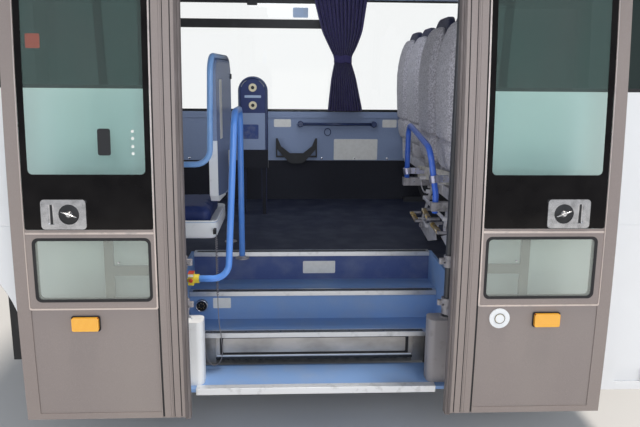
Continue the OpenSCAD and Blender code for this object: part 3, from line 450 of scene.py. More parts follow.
def dress_part(node: str, finish: "Finish", inside: Callable[[Vector], bool]) -> None:
    """Gives a second finish to some faces of a dressed CAD node.

    Args:
        node: the node's name.
        finish: the second finish.
        inside: the test that a face's middle passes, in the frame's coordinates.
    """
    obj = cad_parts[node]
    obj.data.materials.append(finish.material())
    for face in obj.data.polygons:
        if inside(obj.matrix_world @ face.center):
            face.material_index = len(obj.data.materials) - 1


def baked(obj: bpy.types.Object) -> None:
    """Applies an object's modifiers to its mesh."""
    graph = bpy.context.evaluated_depsgraph_get()
    graph.update()
    mesh = bpy.data.meshes.new_from_object(obj.evaluated_get(graph))
    obj.modifiers.clear()
    obj.data = mesh


# Materials


def linear(code: str) -> tuple[float, float, float, float]:
    """Turns an sRGB hex colour into linear numbers with an alpha of 1."""
    parts = [int(code[i : i + 2], 16) / 255 for i in (0, 2, 4)]
    return (*[c / 12.92 if c <= 0.04045 else ((c + 0.055) / 1.055) ** 2.4 for c in parts], 1.0)


def add_node(tree: bpy.types.NodeTree, kind: str, inputs: dict[Any, Any] | None = None,
             stops: Sequence[tuple[float, float]] = (), **settings: Any) -> bpy.types.Node:
    """Adds a shader node with its settings and links.

    Args:
        tree: the material's or world's node tree.
        kind: the node's type without its ShaderNode prefix.
        inputs: for each input name or number, a value, or a socket to link.
        stops: position and grey level of each stop, for a colour ramp.
        settings: properties of the node.

    Returns:
        The new node.
    """
    node = tree.nodes.new("ShaderNode" + kind)
    for key, value in settings.items():
        setattr(node, key, value)
    for index, (position, level) in enumerate(stops):
        elements = node.color_ramp.elements
        stop = elements[index] if index < 2 else elements.new(position)
        stop.position = position
        stop.color = (level, level, level, 1.0)
    for key, value in (inputs or {}).items():
        if isinstance(value, bpy.types.NodeSocket):
            tree.links.new(value, node.inputs[key])
        else:
            node.inputs[key].default_value = value
    return node


def scaled_place(tree: bpy.types.NodeTree, size_mm: float, stretch: Sequence[float] = (1, 1, 1)
                 ) -> bpy.types.NodeSocket:
    """The place on the piece, measured in units of a real size."""
    place = add_node(tree, "TexCoord").outputs["Object"]
    scale = [s / (size_mm * MM) for s in stretch]
    return add_node(tree, "Mapping", {"Vector": place, "Scale": scale}).outputs[0]


def clouds(tree: bpy.types.NodeTree, size_mm: float, detail: float = 3.0,
           stretch: Sequence[float] = (1, 1, 1)) -> bpy.types.NodeSocket:
    """A cloudy pattern from 0 to 1 whose patches are about size_mm across."""
    place = scaled_place(tree, size_mm, stretch)
    inputs = {"Vector": place, "Scale": 1.0, "Detail": detail}
    return add_node(tree, "TexNoise", inputs).outputs["Fac"]


def contrast(tree: bpy.types.NodeTree, value: bpy.types.NodeSocket, low: float, high: float
             ) -> bpy.types.NodeSocket:
    """Spreads the stretch of a pattern between low and high over 0 to 1."""
    return add_node(tree, "MapRange", {"Value": value, "From Min": low, "From Max": high}).outputs[0]


def tones(tree: bpy.types.NodeTree, factor: Any, low: Any, high: Any) -> bpy.types.NodeSocket:
    """Mixes two colours, each a hex code or a socket, by a factor."""
    low, high = (linear(c) if isinstance(c, str) else c for c in (low, high))
    return add_node(tree, "Mix", {0: factor, 6: low, 7: high}, data_type="RGBA").outputs[2]


def relief(tree: bpy.types.NodeTree, height: bpy.types.NodeSocket, depth_mm: float,
           strength: float = 1.0) -> bpy.types.NodeSocket:
    """Turns a pattern into surface relief of a real depth."""
    inputs = {"Height": height, "Distance": depth_mm * MM, "Strength": strength}
    return add_node(tree, "Bump", inputs).outputs[0]


def grain(tree: bpy.types.NodeTree, size_mm: float, detail: float, depth_mm: float, strength: float
          ) -> bpy.types.NodeSocket:
    """Surface relief from a cloudy pattern."""
    return relief(tree, clouds(tree, size_mm, detail), depth_mm, strength)


def weakened(tree: bpy.types.NodeTree, value: bpy.types.NodeSocket, share: float) -> bpy.types.NodeSocket:
    """A pattern brought down to a share of its strength."""
    return add_node(tree, "Math", {0: value, 1: share}, operation="MULTIPLY").outputs[0]


@dataclass(frozen=True)
class Patches:
    """Cloudy patches: their size, how sharply they stand out and how much they cover."""

    size_mm: float
    detail: float
    low: float
    high: float
    share: float = 1.0
    stretch: Triple = (1, 1, 1)

    def over(self, tree: bpy.types.NodeTree, base: Any, tone: str) -> bpy.types.NodeSocket:
        """A base colour, a hex code or a socket, with the patches in another tone."""
        factor = contrast(tree, clouds(tree, self.size_mm, self.detail, self.stretch), self.low, self.high)
        if self.share < 1:
            factor = weakened(tree, factor, self.share)
        return tones(tree, factor, base, tone)


@dataclass(frozen=True)
class Finish:
    """A surface finish. Its material is made once and shared by all its pieces."""

    name: str
    colour: str
    roughness: float = 0.5

    def shade(self, tree: bpy.types.NodeTree) -> dict[str, Any]:
        """Returns the inputs of the finish's Principled shader."""
        raise NotImplementedError

    def material(self) -> bpy.types.Material:
        """The finish's material, made at its first use."""
        found = bpy.data.materials.get(self.name)
        if found:
            return found
        made = bpy.data.materials.new(self.name)
        made.use_nodes = True
        tree = made.node_tree
        tree.nodes.clear()
        inputs = {"Base Color": linear(self.colour), "Roughness": self.roughness}
        inputs.update(self.shade(tree))
        shader = add_node(tree, "BsdfPrincipled", inputs)
        add_node(tree, "OutputMaterial", {"Surface": self.surface(tree, shader.outputs[0])})
        return made

    def surface(self, tree: bpy.types.NodeTree, shader: bpy.types.NodeSocket) -> bpy.types.NodeSocket:
        """What goes to the material's output, here the Principled shader alone."""
        return shader


@dataclass(frozen=True)
class CoachPaint(Finish):
    """Two-pack acrylic paint, sprayed and baked: a hard gloss with faint orange peel and dust."""

    dust: str = "b9b4ac"
    film: Patches = Patches(420, 4, 0.5, 0.85, 0.16, (1, 1, 0.5))
    peel_mm: float = 6.0

    def shade(self, tree: bpy.types.NodeTree) -> dict[str, Any]:
        """Adds soft dust patches under the clear coat, and the peel in the gloss."""
        return {"Base Color": self.film.over(tree, self.colour, self.dust),
                "Normal": grain(tree, self.peel_mm, 1, 0.02, 0.5), "Coat Weight": 0.6, "Coat Roughness": 0.06}


@dataclass(frozen=True)
class MetallicPaint(Finish):
    """Metallic base coat under clear coat: a satin sheen with fine, lighter flakes."""

    flake: str = "b4a8a3"
    flakes: Patches = Patches(2.2, 2, 0.48, 0.75, 0.35)  # coarser than real flakes, which never show
    dust: str = "a39a92"
    drift: Patches = Patches(260, 3, 0.35, 0.75, 0.25, (1, 1, 0.3))

    def shade(self, tree: bpy.types.NodeTree) -> dict[str, Any]:
        """Adds flakes, a slow drift of tone and rubbed-in road dust."""
        coat = self.flakes.over(tree, self.colour, self.flake)
        return {"Base Color": self.drift.over(tree, coat, self.dust), "Metallic": 0.25,
                "Normal": grain(tree, 5, 1, 0.02, 0.4), "Coat Weight": 0.25, "Coat Roughness": 0.2}


@dataclass(frozen=True)
class ExtrudedAluminium(Finish):
    """Extruded and anodised aluminium: pale, with fine drawn lines along its length."""

    along: Triple = (0.01, 1.0, 1.0)
    line_mm: float = 1.6
    scuffs: Patches = Patches(45, 4, 0.55, 0.75, 0.4)

    def shade(self, tree: bpy.types.NodeTree) -> dict[str, Any]:
        """Adds the drawn lines and some grey scuffs."""
        lines = clouds(tree, self.line_mm, 2, self.along)
        return {"Base Color": self.scuffs.over(tree, self.colour, "8c8d90"), "Metallic": 0.85,
                "Normal": relief(tree, lines, 0.05, 0.6)}


@dataclass(frozen=True)
class StainlessSheet(Finish):
    """Rolled stainless sheet with a brushed face: streaks run along it and blur what it mirrors."""

    streak_mm: float = 1.4
    wipes: Patches = Patches(90, 3, 0.4, 0.8, stretch=(0.5, 1, 1))

    def shade(self, tree: bpy.types.NodeTree) -> dict[str, Any]:
        """Adds the brushed streaks and wiped marks."""
        streaks = clouds(tree, self.streak_mm, 3, (0.02, 1, 1))
        return {"Base Color": self.wipes.over(tree, self.colour, "8f8a84"), "Metallic": 0.9,
                "Normal": relief(tree, streaks, 0.04, 0.5)}


@dataclass(frozen=True)
class Rubber(Finish):
    """Extruded EPDM rubber: matt, with a grey bloom where hands and rain have been."""

    bloom: str = "8a8583"
    streaks: Patches = Patches(16, 3, 0.5, 0.8, 0.45, (1, 1, 0.08))

    def shade(self, tree: bpy.types.NodeTree) -> dict[str, Any]:
        """Adds the bloom in streaks that run down the profile."""
        return {"Base Color": self.streaks.over(tree, self.colour, self.bloom),
                "Normal": grain(tree, 3, 2, 0.04, 0.5)}


@dataclass(frozen=True)
class Glass(Finish):
    """Toughened float glass, tinted in the melt: it colours what lies behind and mirrors the sky."""

    tint: str = "e8f4f2"
    cover: float = 0.04  # how much a film of dust hides
    film: Patches = Patches(180, 4, 0.35, 0.85, stretch=(1, 1, 0.4))

    def shade(self, tree: bpy.types.NodeTree) -> dict[str, Any]:
        """Returns the dust film's inputs."""
        return {"Base Color": self.film.over(tree, self.colour, "c8cdc9"), "Roughness": 0.5}

    def surface(self, tree: bpy.types.NodeTree, shader: bpy.types.NodeSocket) -> bpy.types.NodeSocket:
        """Lays the film on tinted clear glass, under a hard mirror that grows at the edges."""
        clear = add_node(tree, "BsdfTransparent", {"Color": linear(self.tint)}).outputs[0]
        filmed = add_node(tree, "MixShader", {0: self.cover, 1: clear, 2: shader}).outputs[0]
        polish = {"Color": linear("ffffff"), "Roughness": self.roughness}
        mirror = add_node(tree, "BsdfGlossy", polish).outputs[0]
        edge = add_node(tree, "Fresnel", {"IOR": 1.4}).outputs[0]
        return add_node(tree, "MixShader", {0: edge, 1: filmed, 2: mirror}).outputs[0]


@dataclass(frozen=True)
class Enamel(Finish):
    """Black ceramic frit fired onto the glass: opaque, and as smooth as the pane."""

    patches: Patches = Patches(120, 2, 0.3, 0.8)

    def shade(self, tree: bpy.types.NodeTree) -> dict[str, Any]:
        """Adds a slight unevenness of the fired layer."""
        return {"Base Color": self.patches.over(tree, self.colour, "1c1a1a"), "Specular IOR Level": 0.2}


@dataclass(frozen=True)
class SafetyVinyl(Finish):
    """Calendered safety flooring: matt vinyl with pale and dark grit rolled into it."""

    grit: str = "b7d4ee"
    grit_mm: float = 5.0  # drawn coarser than the real 1.5 mm grit, so that it shows
    soil: float = 0.3

    def shade(self, tree: bpy.types.NodeTree) -> dict[str, Any]:
        """Adds grit, and dust carried in by feet."""
        cell_inputs = {"Vector": scaled_place(tree, self.grit_mm), "Scale": 1.0}
        cells = add_node(tree, "TexVoronoi", cell_inputs).outputs["Distance"]
        grains = weakened(tree, contrast(tree, cells, 0.24, 0.1), 0.3)
        base = tones(tree, grains, self.colour, self.grit)
        return {"Base Color": Patches(140, 5, 0.42, 0.8, self.soil).over(tree, base, "9aa0a8"),
                "Normal": grain(tree, 3, 3, 0.25, 0.6)}


@dataclass(frozen=True)
class PowderCoat(Finish):
    """Powder coat on steel: an even, slightly pebbled semi-gloss colour, paler where hands rub."""

    rubbed: str = "9db9ea"
    hands: Patches = Patches(70, 3, 0.5, 0.85, 0.25)

    def shade(self, tree: bpy.types.NodeTree) -> dict[str, Any]:
        """Adds the pebble and the rubbed patches."""
        return {"Base Color": self.hands.over(tree, self.colour, self.rubbed),
                "Normal": grain(tree, 2.5, 2, 0.03, 0.5), "Coat Weight": 0.3, "Coat Roughness": 0.12}


@dataclass(frozen=True)
class Moulding(Finish):
    """Injection-moulded ABS: grained, with grey scuffs on its corners."""

    scuff: str = "8f8e8c"
    grain_mm: float = 2.0
    scuffs: Patches = Patches(60, 5, 0.56, 0.74, 0.4)

    def shade(self, tree: bpy.types.NodeTree) -> dict[str, Any]:
        """Adds the mould's grain and the scuffs."""
        return {"Base Color": self.scuffs.over(tree, self.colour, self.scuff),
                "Normal": grain(tree, self.grain_mm, 2, 0.05, 0.5)}


@dataclass(frozen=True)
class Laminate(Finish):
    """Wall laminate pressed with a fine linen grain: even and satin."""

    fleck: str = "a4b2c6"
    thread_mm: float = 1.8
    flecks: Patches = Patches(6, 2, 0.5, 0.8, 0.35)

    def shade(self, tree: bpy.types.NodeTree) -> dict[str, Any]:
        """Adds the linen grain as two crossing sets of threads."""
        upright = clouds(tree, self.thread_mm, 1, (1, 1, 0.12))
        level = clouds(tree, self.thread_mm, 1, (0.12, 1, 1))
        both = add_node(tree, "Math", {0: upright, 1: level}, operation="ADD").outputs[0]
        return {"Base Color": self.flecks.over(tree, self.colour, self.fleck),
                "Normal": relief(tree, both, 0.05, 0.4)}


@dataclass(frozen=True)
class Felt(Finish):
    """Needle-punched felt: a dull nap of short fibres that drinks the light."""

    fibres: Patches = Patches(2.5, 4, 0.5, 0.8)

    def shade(self, tree: bpy.types.NodeTree) -> dict[str, Any]:
        """Adds lighter fibres and the lumpy nap."""
        return {"Base Color": self.fibres.over(tree, self.colour, "3a3c48"), "Sheen Weight": 0.3,
                "Normal": grain(tree, 4, 4, 0.8, 0.7)}


@dataclass(frozen=True)
class WovenCloth(Finish):
    """Flat-woven wool and polyester: crossing threads, softly matt with a little sheen."""

    thread: str = "d0d2d6"
    thread_mm: float = 3.2  # drawn coarser than the real 1 mm threads, so that the weave shows

    def shade(self, tree: bpy.types.NodeTree) -> dict[str, Any]:
        """Adds warp and weft, and the pale flecks of the yarn."""
        wave = {"Vector": scaled_place(tree, self.thread_mm), "Scale": 0.5, "Distortion": 0.6, "Detail": 1.0}
        bands = [add_node(tree, "TexWave", wave, bands_direction=axis).outputs["Fac"] for axis in ("Y", "Z")]
        weave = add_node(tree, "Math", {0: bands[0], 1: bands[1]}, operation="MULTIPLY").outputs[0]
        flecks = contrast(tree, clouds(tree, 9, 4), 0.40, 0.60)
        both = add_node(tree, "Math", {0: weave, 1: flecks}, operation="ADD").outputs[0]
        return {"Base Color": tones(tree, weakened(tree, both, 0.5), self.colour, self.thread),
                "Sheen Weight": 0.25, "Sheen Roughness": 0.4, "Normal": relief(tree, weave, 0.5, 0.7)}


@dataclass(frozen=True)
class CastMetal(Finish):
    """Sand-cast aluminium: pale grey with a pebbled skin and oily dirt in its hollows."""

    dirt: str = "4c494a"
    hollows: Patches = Patches(38, 5, 0.5, 0.72, 0.6)

    def shade(self, tree: bpy.types.NodeTree) -> dict[str, Any]:
        """Adds dirt in patches and the cast skin."""
        return {"Base Color": self.hollows.over(tree, self.colour, self.dirt), "Metallic": 0.35,
                "Normal": grain(tree, 3.0, 3, 0.2, 0.6)}


@dataclass(frozen=True)
class SatinChrome(Finish):
    """Die-cast zinc or steel, plated satin: bright, softly mirroring metal."""

    wipes: Patches = Patches(30, 3, 0.4, 0.8)

    def shade(self, tree: bpy.types.NodeTree) -> dict[str, Any]:
        """Adds faint wipe marks to the plating."""
        return {"Base Color": self.wipes.over(tree, self.colour, "b6b6b8"), "Metallic": 0.95,
                "Normal": grain(tree, 4, 2, 0.02, 0.4)}


@dataclass(frozen=True)
class MouldedLens(Finish):
    """Moulded acrylic: clear colour with prisms behind its face that break up the light."""

    deep: str = "c65a05"
    prism_mm: float = 8.0

    def shade(self, tree: bpy.types.NodeTree) -> dict[str, Any]:
        """Adds the prisms behind the smooth face."""
        wave = {"Vector": scaled_place(tree, self.prism_mm), "Scale": 0.5}
        prisms = add_node(tree, "TexWave", wave, bands_direction="X").outputs["Fac"]
        return {"Base Color": tones(tree, prisms, self.deep, self.colour),
                "Normal": relief(tree, prisms, 0.8, 0.6), "Coat Weight": 0.8, "Coat Roughness": 0.03}


@dataclass(frozen=True)
class PrintedFilm(Finish):
    """Self-adhesive vinyl film, printed plain: a flat satin sheet, slightly yellowed."""

    age: Patches = Patches(25, 3, 0.4, 0.9, 0.25)

    def shade(self, tree: bpy.types.NodeTree) -> dict[str, Any]:
        """Adds a little yellowing."""
        return {"Base Color": self.age.over(tree, self.colour, "b3aea2")}


@dataclass(frozen=True)
class StudioPaper(Finish):
    """Painted studio floor: pale and matt, with a barely visible roller texture."""

    def shade(self, tree: bpy.types.NodeTree) -> dict[str, Any]:
        """Adds the roller texture."""
        return {"Normal": grain(tree, 40, 3, 0.3, 0.3)}


COACH_WHITE = CoachPaint("coach_paint_white", "f0f1f2", 0.3)
TAUPE = MetallicPaint("metallic_paint_taupe", "8f8480", 0.42)
TAUPE_PANEL = MetallicPaint("metallic_paint_taupe_panel", "8d8380", 0.46)
CHASSIS_BLACK = PowderCoat("chassis_paint_black", "26272a", 0.55, rubbed="3c3a38")
BEAD = ExtrudedAluminium("anodised_bead_champagne", "dccfc8", 0.35, along=(1.0, 1.0, 0.01))
ALUMINIUM = ExtrudedAluminium("anodised_aluminium_strip", "d3d5d8", 0.38)
SILL = ExtrudedAluminium("worn_sill_strip", "e8ebef", 0.5)
STAINLESS = StainlessSheet("brushed_stainless_sheet", "b9b4ae", 0.36)
BLACK_RUBBER = Rubber("epdm_rubber_black", "1d1c1e", 0.7, bloom="3a3838")
EDGE_RUBBER = Rubber("epdm_rubber_taupe", "6e6664", 0.6, bloom="a0999a")
LEAF_GLASS = Glass("toughened_glass_green", "a9cdc4", 0.02, tint="f0fcf9", cover=0.05)
SIDE_GLASS = Glass("toughened_glass_dark", "2a3433", 0.03, tint="6c7877", cover=0.02)
CLEAR_GLASS = Glass("toughened_glass_clear", "cfe2e2", 0.02, tint="fdfefe", cover=0.01)
WINDOW_GLASS = Glass("toughened_glass_dusty", "d6d5cb", 0.03, tint="f4fbf7", cover=0.20)
FRIT = Enamel("ceramic_frit_black", "0f0d0e", 0.1)
STEP_VINYL = SafetyVinyl("safety_vinyl_blue", "7699cb", 0.62)
# painted shade: the top riser's darker blue stands in for shade on the blue step vinyl
SHADED_TOP_VINYL = SafetyVinyl("safety_vinyl_top_riser", "43558a", 0.62, grit="7f9ac4")
# painted shade: the deck's dark navy stands in for shade on the same blue floor covering as the steps
DECK_VINYL = SafetyVinyl("safety_vinyl_deck_painted_shade", "1b2138", 0.62, grit="4b5f8e", soil=0.12)
# partly the rail's blue paint, partly painted light: lightened to stand in for sunlight on the partition rail
SUNLIT_RAIL = PowderCoat("powder_coat_blue_painted_sunlight", "8dbcf6", 0.33, rubbed="bcdafb")
# partly the rail's blue paint, partly painted light: lightened to stand in for sunlight on the entry rail
ENTRY_BLUE = PowderCoat("powder_coat_mid_blue", "619bf2", 0.30, rubbed="9cc4f8")
BLUE_RAIL = PowderCoat("powder_coat_blue", "3f6fdc", 0.32)
# also given to the partition rail's rear run, there as painted shade
NAVY_RAIL = PowderCoat("powder_coat_navy", "26375f", 0.4, rubbed="4a5f90")
BLACK_PLASTIC = Moulding("moulded_plastic_black", "17181b", 0.5, scuff="34353a")
WHITE_PLASTIC = Moulding("moulded_plastic_white", "eef0f1", 0.4, scuff="c3c2bf")
YELLOW_PLASTIC = Moulding("moulded_plastic_yellow", "d9c63e", 0.45, scuff="a4945a")
RED_PLASTIC = Moulding("moulded_plastic_red", "c2452f", 0.4, scuff="8c3a2c")
CREAM_PLASTIC = Moulding("moulded_plastic_cream", "e4d9b8", 0.45, scuff="b9ae90")
LINING = Laminate("wall_laminate_blue_grey", "8797b6", 0.55)
GLOSS_LINING = Laminate("wall_laminate_gloss", "7d8cb0", 0.22, fleck="93a1be")
LEDGE = Laminate("wall_laminate_plum", "453f55", 0.5, fleck="57516a")
CEILING = Laminate("ceiling_laminate", "c9ccd1", 0.6, fleck="dcdfe3")
FELT = Felt("needle_felt_dark", "15161f", 0.95)
GREY_CLOTH = WovenCloth("woven_cloth_grey", "8f8c95", 0.9, thread="f0eef4")
NAVY_CLOTH = WovenCloth("woven_cloth_navy", "131838", 0.9, thread="252c58")
CURTAIN_CLOTH = WovenCloth("curtain_cloth_navy", "211c44", 0.9, thread="3b3668", thread_mm=4.0)
NAVY_VINYL = Moulding("padded_vinyl_navy", "1d2f66", 0.5, scuff="33457c", grain_mm=3.0)
CORD_PVC = Moulding("pvc_cord_sheath_grey", "7f7b7e", 0.28, scuff="b4afb0", grain_mm=5.0)
CAST = CastMetal("cast_aluminium", "a9a6aa", 0.5)
SEAT_CAST = CastMetal("cast_seat_base", "e2e0e4", 0.45, dirt="8a868c")
CREAM_CAST = CastMetal("cast_seat_rail", "efe9dc", 0.5, dirt="9c9588")
STRAP_STEEL = SatinChrome("zinc_plated_strap", "c3c6e2", 0.35)
LEG_BLACK = PowderCoat("seat_leg_black", "1a1b20", 0.6, rubbed="2f3036")
# painted shade: the right foot cover's greyer tone stands in for the right leaf's shadow on it
SHADED_COVER = Moulding("moulded_plastic_painted_shade", "959193", 0.5, scuff="6a6461")
CHROME = SatinChrome("satin_chrome", "dcdcde", 0.25)
GOLD_STEEL = SatinChrome("zinc_plated_spring", "b59a5e", 0.35)
COLUMN = PowderCoat("powder_coat_column_grey", "3a3b40", 0.45, rubbed="66676c")
AMBER_END = MouldedLens("moulded_lens_amber_dark", "b5560a", 0.25, deep="7d3304")
# partly the lens's amber, partly painted light: lightened towards the sun's glare on the lens
AMBER = MouldedLens("moulded_lens_amber", "ffca4c", 0.2, deep="f39a1c")
BLANK_FILM = PrintedFilm("printed_film_white", "e9e8e2", 0.5)
BLUE_FILM = PrintedFilm("printed_film_blue", "24407e", 0.5)
STRIP_FILM = PrintedFilm("printed_film_pale_blue", "a9bedb", 0.5)
PAPER = StudioPaper("studio_floor_paint", "d9d8d6", 0.9)


# Studio


@dataclass(frozen=True)
class Lamp:
    """A soft lamp: where it hangs, what it faces, how large and how bright it is."""

    name: str
    place: Triple
    target: Triple
    size: float
    power: float
    tint: str = "eef4ff"
    distant: bool = False

    def build(self) -> None:
        """Adds the lamp, whose size is an angle if it is distant."""
        data = bpy.data.lights.new(self.name, "SUN" if self.distant else "AREA")
        setattr(data, "angle" if self.distant else "size", self.size)
        data.energy = self.power
        data.color = linear(self.tint)[:3]
        place, target = row(*self.place), row(*self.target)
        lamp = show(self.name, data)
        turn = (target - place).to_track_quat("-Z", "Y").to_matrix().to_4x4()
        lamp.matrix_world = Matrix.Translation(place) @ turn
        lamp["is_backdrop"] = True


@dataclass
class Studio:
    """Floor, backdrop, soft lights and the camera at the photograph's place."""

    eye: Triple = (-0.1401, -3.0071, 1.8971)
    focal_mm: float = 36.74
    pitch: float = 0.2062
    yaw: float = 0.0485
    roll: float = 0.0085
    sky: float = 0.40
    floor_corners: tuple[Pair, ...] = ((-14, -9), (14, -9), (14, 16), (-14, 16))
    lamps: tuple[Lamp, ...] = (
        Lamp("key", (0.9, -0.72, 6.4), (0.0, -0.1, 0.4), 0.13, 2.35, "fff6ea", distant=True),
        Lamp("front fill", (0.3, -5.2, 2.6), (0.0, -0.2, 1.2), 3.0, 92.0),
        Lamp("left fill", (-5.2, -2.9, 2.3), (-0.9, -0.2, 1.3), 2.4, 60.0),
        Lamp("right fill", (5.2, -2.9, 2.3), (0.9, -0.2, 1.3), 2.4, 60.0),
        Lamp("cabin", (0.1, 1.5, 2.42), (0.1, 2.6, 1.0), 0.9, 3.6))

    def camera(self) -> None:
        """Sets the camera that the photograph was taken with."""
        data = bpy.data.cameras.new("camera")
        data.lens = self.focal_mm
        data.sensor_width = 36.0
        data.clip_start = 0.02
        level = Vector((math.sin(self.yaw), math.cos(self.yaw), 0))
        right = Vector((math.cos(self.yaw), -math.sin(self.yaw), 0))
        ahead = math.cos(self.pitch) * level - math.sin(self.pitch) * UPWARDS
        top = math.cos(self.pitch) * UPWARDS + math.sin(self.pitch) * level
        side = math.cos(self.roll) * right + math.sin(self.roll) * top
        head = math.cos(self.roll) * top - math.sin(self.roll) * right
        camera = show("camera", data)
        turn = Matrix((side, head, -ahead)).transposed().to_4x4()
        camera.matrix_world = Matrix.Translation(row(*self.eye)) @ turn
        bpy.context.scene.camera = camera

    def build(self) -> None:
        """Adds the floor, the world and the lights."""
        shape = Shape()
        shape.mesh.faces.new([shape.mesh.verts.new(row(x, y, 0.0)) for x, y in self.floor_corners])
        show("floor", shape.data("floor", PAPER))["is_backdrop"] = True
        self.world()
        for lamp in self.lamps:
            lamp.build()
        bpy.context.scene.view_settings.view_transform = "Standard"
        log.info("studio ready")

    def world(self) -> None:
        """Makes a sky that lights softly and that the camera sees as white."""
        world = bpy.data.worlds.new("studio")
        world.use_nodes = True
        tree = world.node_tree
        tree.nodes.clear()
        soft = add_node(tree, "Background", {"Color": linear("e8edf4"), "Strength": self.sky})
        white = add_node(tree, "Background", {"Color": linear("ffffff"), "Strength": 1.0})
        seen = add_node(tree, "LightPath").outputs["Is Camera Ray"]
        mix = add_node(tree, "MixShader", {0: seen, 1: soft.outputs[0], 2: white.outputs[0]})
        add_node(tree, "OutputWorld", {"Surface": mix.outputs[0]})
        bpy.context.scene.world = world


# Remote control cord


@dataclass
class RemoteCord:
    """The lift's remote control cord: a curl below its socket, then a plain hanging stretch."""

    exit: Triple = (-0.516, 0.300, 1.098)
    curl_end: float = 0.748
    wire: float = 0.0045
    curl_radius: float = 0.005
    pitch: float = 0.012
    turn_points: int = 16
    lead: float = 0.07
    plain_mm: tuple[tuple[int, int, int], ...] = (
        (-516, 300, 748), (-516, 300, 700), (-512, 299, 610), (-502, 298, 520), (-498, 296, 450),
        (-506, 296, 402), (-524, 296, 378), (-546, 296, 370), (-568, 295, 388), (-584, 294, 430),
        (-592, 292, 500), (-595, 284, 580), (-603, 268, 634), (-620, 250, 656), (-636, 236, 664),
        (-640, 228, 665), (-640, 222, 665))

    def path(self) -> list[Vector]:
        """The middle line of the wire, curl first."""
        top, bottom = self.exit[2] - 0.006, self.curl_end + 0.004
        turns = (top - bottom) / self.pitch
        count = int(turns * self.turn_points)
        line = [row(*self.exit)]
        for k in range(count + 1):
            t = k / count
            ease = smoothstep(0, self.lead, t) * (1 - smoothstep(1 - self.lead, 1, t))
            angle, r = 2 * math.pi * turns * t, self.curl_radius * ease
            line.append(row(self.exit[0] + r * math.cos(angle), self.exit[1] + r * math.sin(angle),
                            top + (bottom - top) * t))
        return line + smooth_path([row(*(c * MM for c in p)) for p in self.plain_mm], 8)

    def build(self) -> None:
        """Adds the cord as a curve of its real length."""
        line = self.path()
        data = bpy.data.curves.new("remote_cord_wire", "CURVE")
        data.dimensions = "3D"
        data.bevel_depth = self.wire / 2
        data.bevel_resolution = 2
        spline = data.splines.new("POLY")
        spline.points.add(len(line) - 1)
        for point, place in zip(spline.points, line):
            point.co = (*place, 1.0)
        data.materials.append(CORD_PVC.material())
        cord = seat(show("remote_cord_wire", data), "bay", "cord_sheath")
        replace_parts(cord, "remote_cord", "cord_curl")


@dataclass(frozen=True)
class Plate:
    """A thin plate or film with round corners, laid on a surface between two depths."""

    name: str
    low: Pair
    high: Pair
    radius: float
    depths: Pair
    finish: Finish
    slot: str
    edge_mm: float = 0.4
    arc: int = 5
    along: int = 1

    def build(self, place: Place, body: str = "bay") -> bpy.types.Object:
        """Lays the plate out and makes it ride on a body."""
        outline = round_outline(self.low, self.high, self.radius, self.arc, self.along)
        return Shape().plate(outline, place, self.depths).piece(
            self.name, self.finish, self.slot, self.edge_mm, body)


# Body


@dataclass
class BodyShell:
    """Outer skin, glazing, header, roof, wheel arches and chassis of the bay."""

    half: float = 1.670
    jamb: float = 0.762
    near_z: Pair = (1.842, 2.508)
    far_x: tuple[Pair, ...] = ((-1.655, -1.075), (-1.065, 0.265), (0.275, 1.655))
    far_z: Pair = (1.612, 2.502)
    gasket_depths: Pair = (0.0135, 0.0172)
    marker: Plate = Plate("window_marker", (-1.321, 2.013), (-1.257, 2.077), 0.006, (0.0172, 0.0178),
                          RED_PLASTIC, "side_glass", 0.0)

    def build(self) -> None:
        """Dresses the CAD pieces and adds the windows' gaskets and a small blank marker."""
        dress(["near_panel_rear", "near_panel_front", "far_panel", "roof_skin"], COACH_WHITE)
        dress(["near_glass_rear", "near_glass_front"], SIDE_GLASS, 0.8)
        dress(["near_frame", "far_frame", "roof_hoops", "underframe"], CHASSIS_BLACK, 1.5)
        dress(["wheel_liner"], BLACK_PLASTIC, 1.0)
        dress(["door_header"], TAUPE)
        self.near_gaskets()
        self.far_gaskets()
        self.marker.build(on_near_skin)
        log.info("body shell dressed")

    def near_gaskets(self) -> None:
        """Adds the black rubber round the two near windows."""
        low, high = self.jamb + 0.006, self.half - 0.004
        bottom, top = self.near_z
        for side in Side:
            a, b = sorted((side.value * low, side.value * high))
            outer = round_outline((a, bottom - 0.006), (b, top + 0.002), 0.030, 5, 8)
            inner = round_outline((a + 0.016, bottom + 0.012), (b - 0.016, top - 0.014), 0.030, 5, 8)
            self.gasket(f"near_{side.word}", Shape().frame(outer, inner, on_near_skin, self.gasket_depths))

    def far_gaskets(self) -> None:
        """Adds the black rubber round the three far windows."""
        bottom, top = self.far_z
        for index, (a, b) in enumerate(self.far_x):
            outer = round_outline((a, bottom), (b, top), 0.040, 5, 8)
            inner = round_outline((a + 0.018, bottom + 0.020), (b - 0.018, top - 0.018), 0.034, 5, 8)
            self.gasket(f"far_{index}", Shape().frame(outer, inner, on_far_skin, self.gasket_depths))

    def gasket(self, place: str, shape: Shape) -> None:
        """Finishes one gasket."""
        shape.piece(f"window_gasket_{place}", BLACK_RUBBER, "leaf_rubber", 1.0)


# Doors


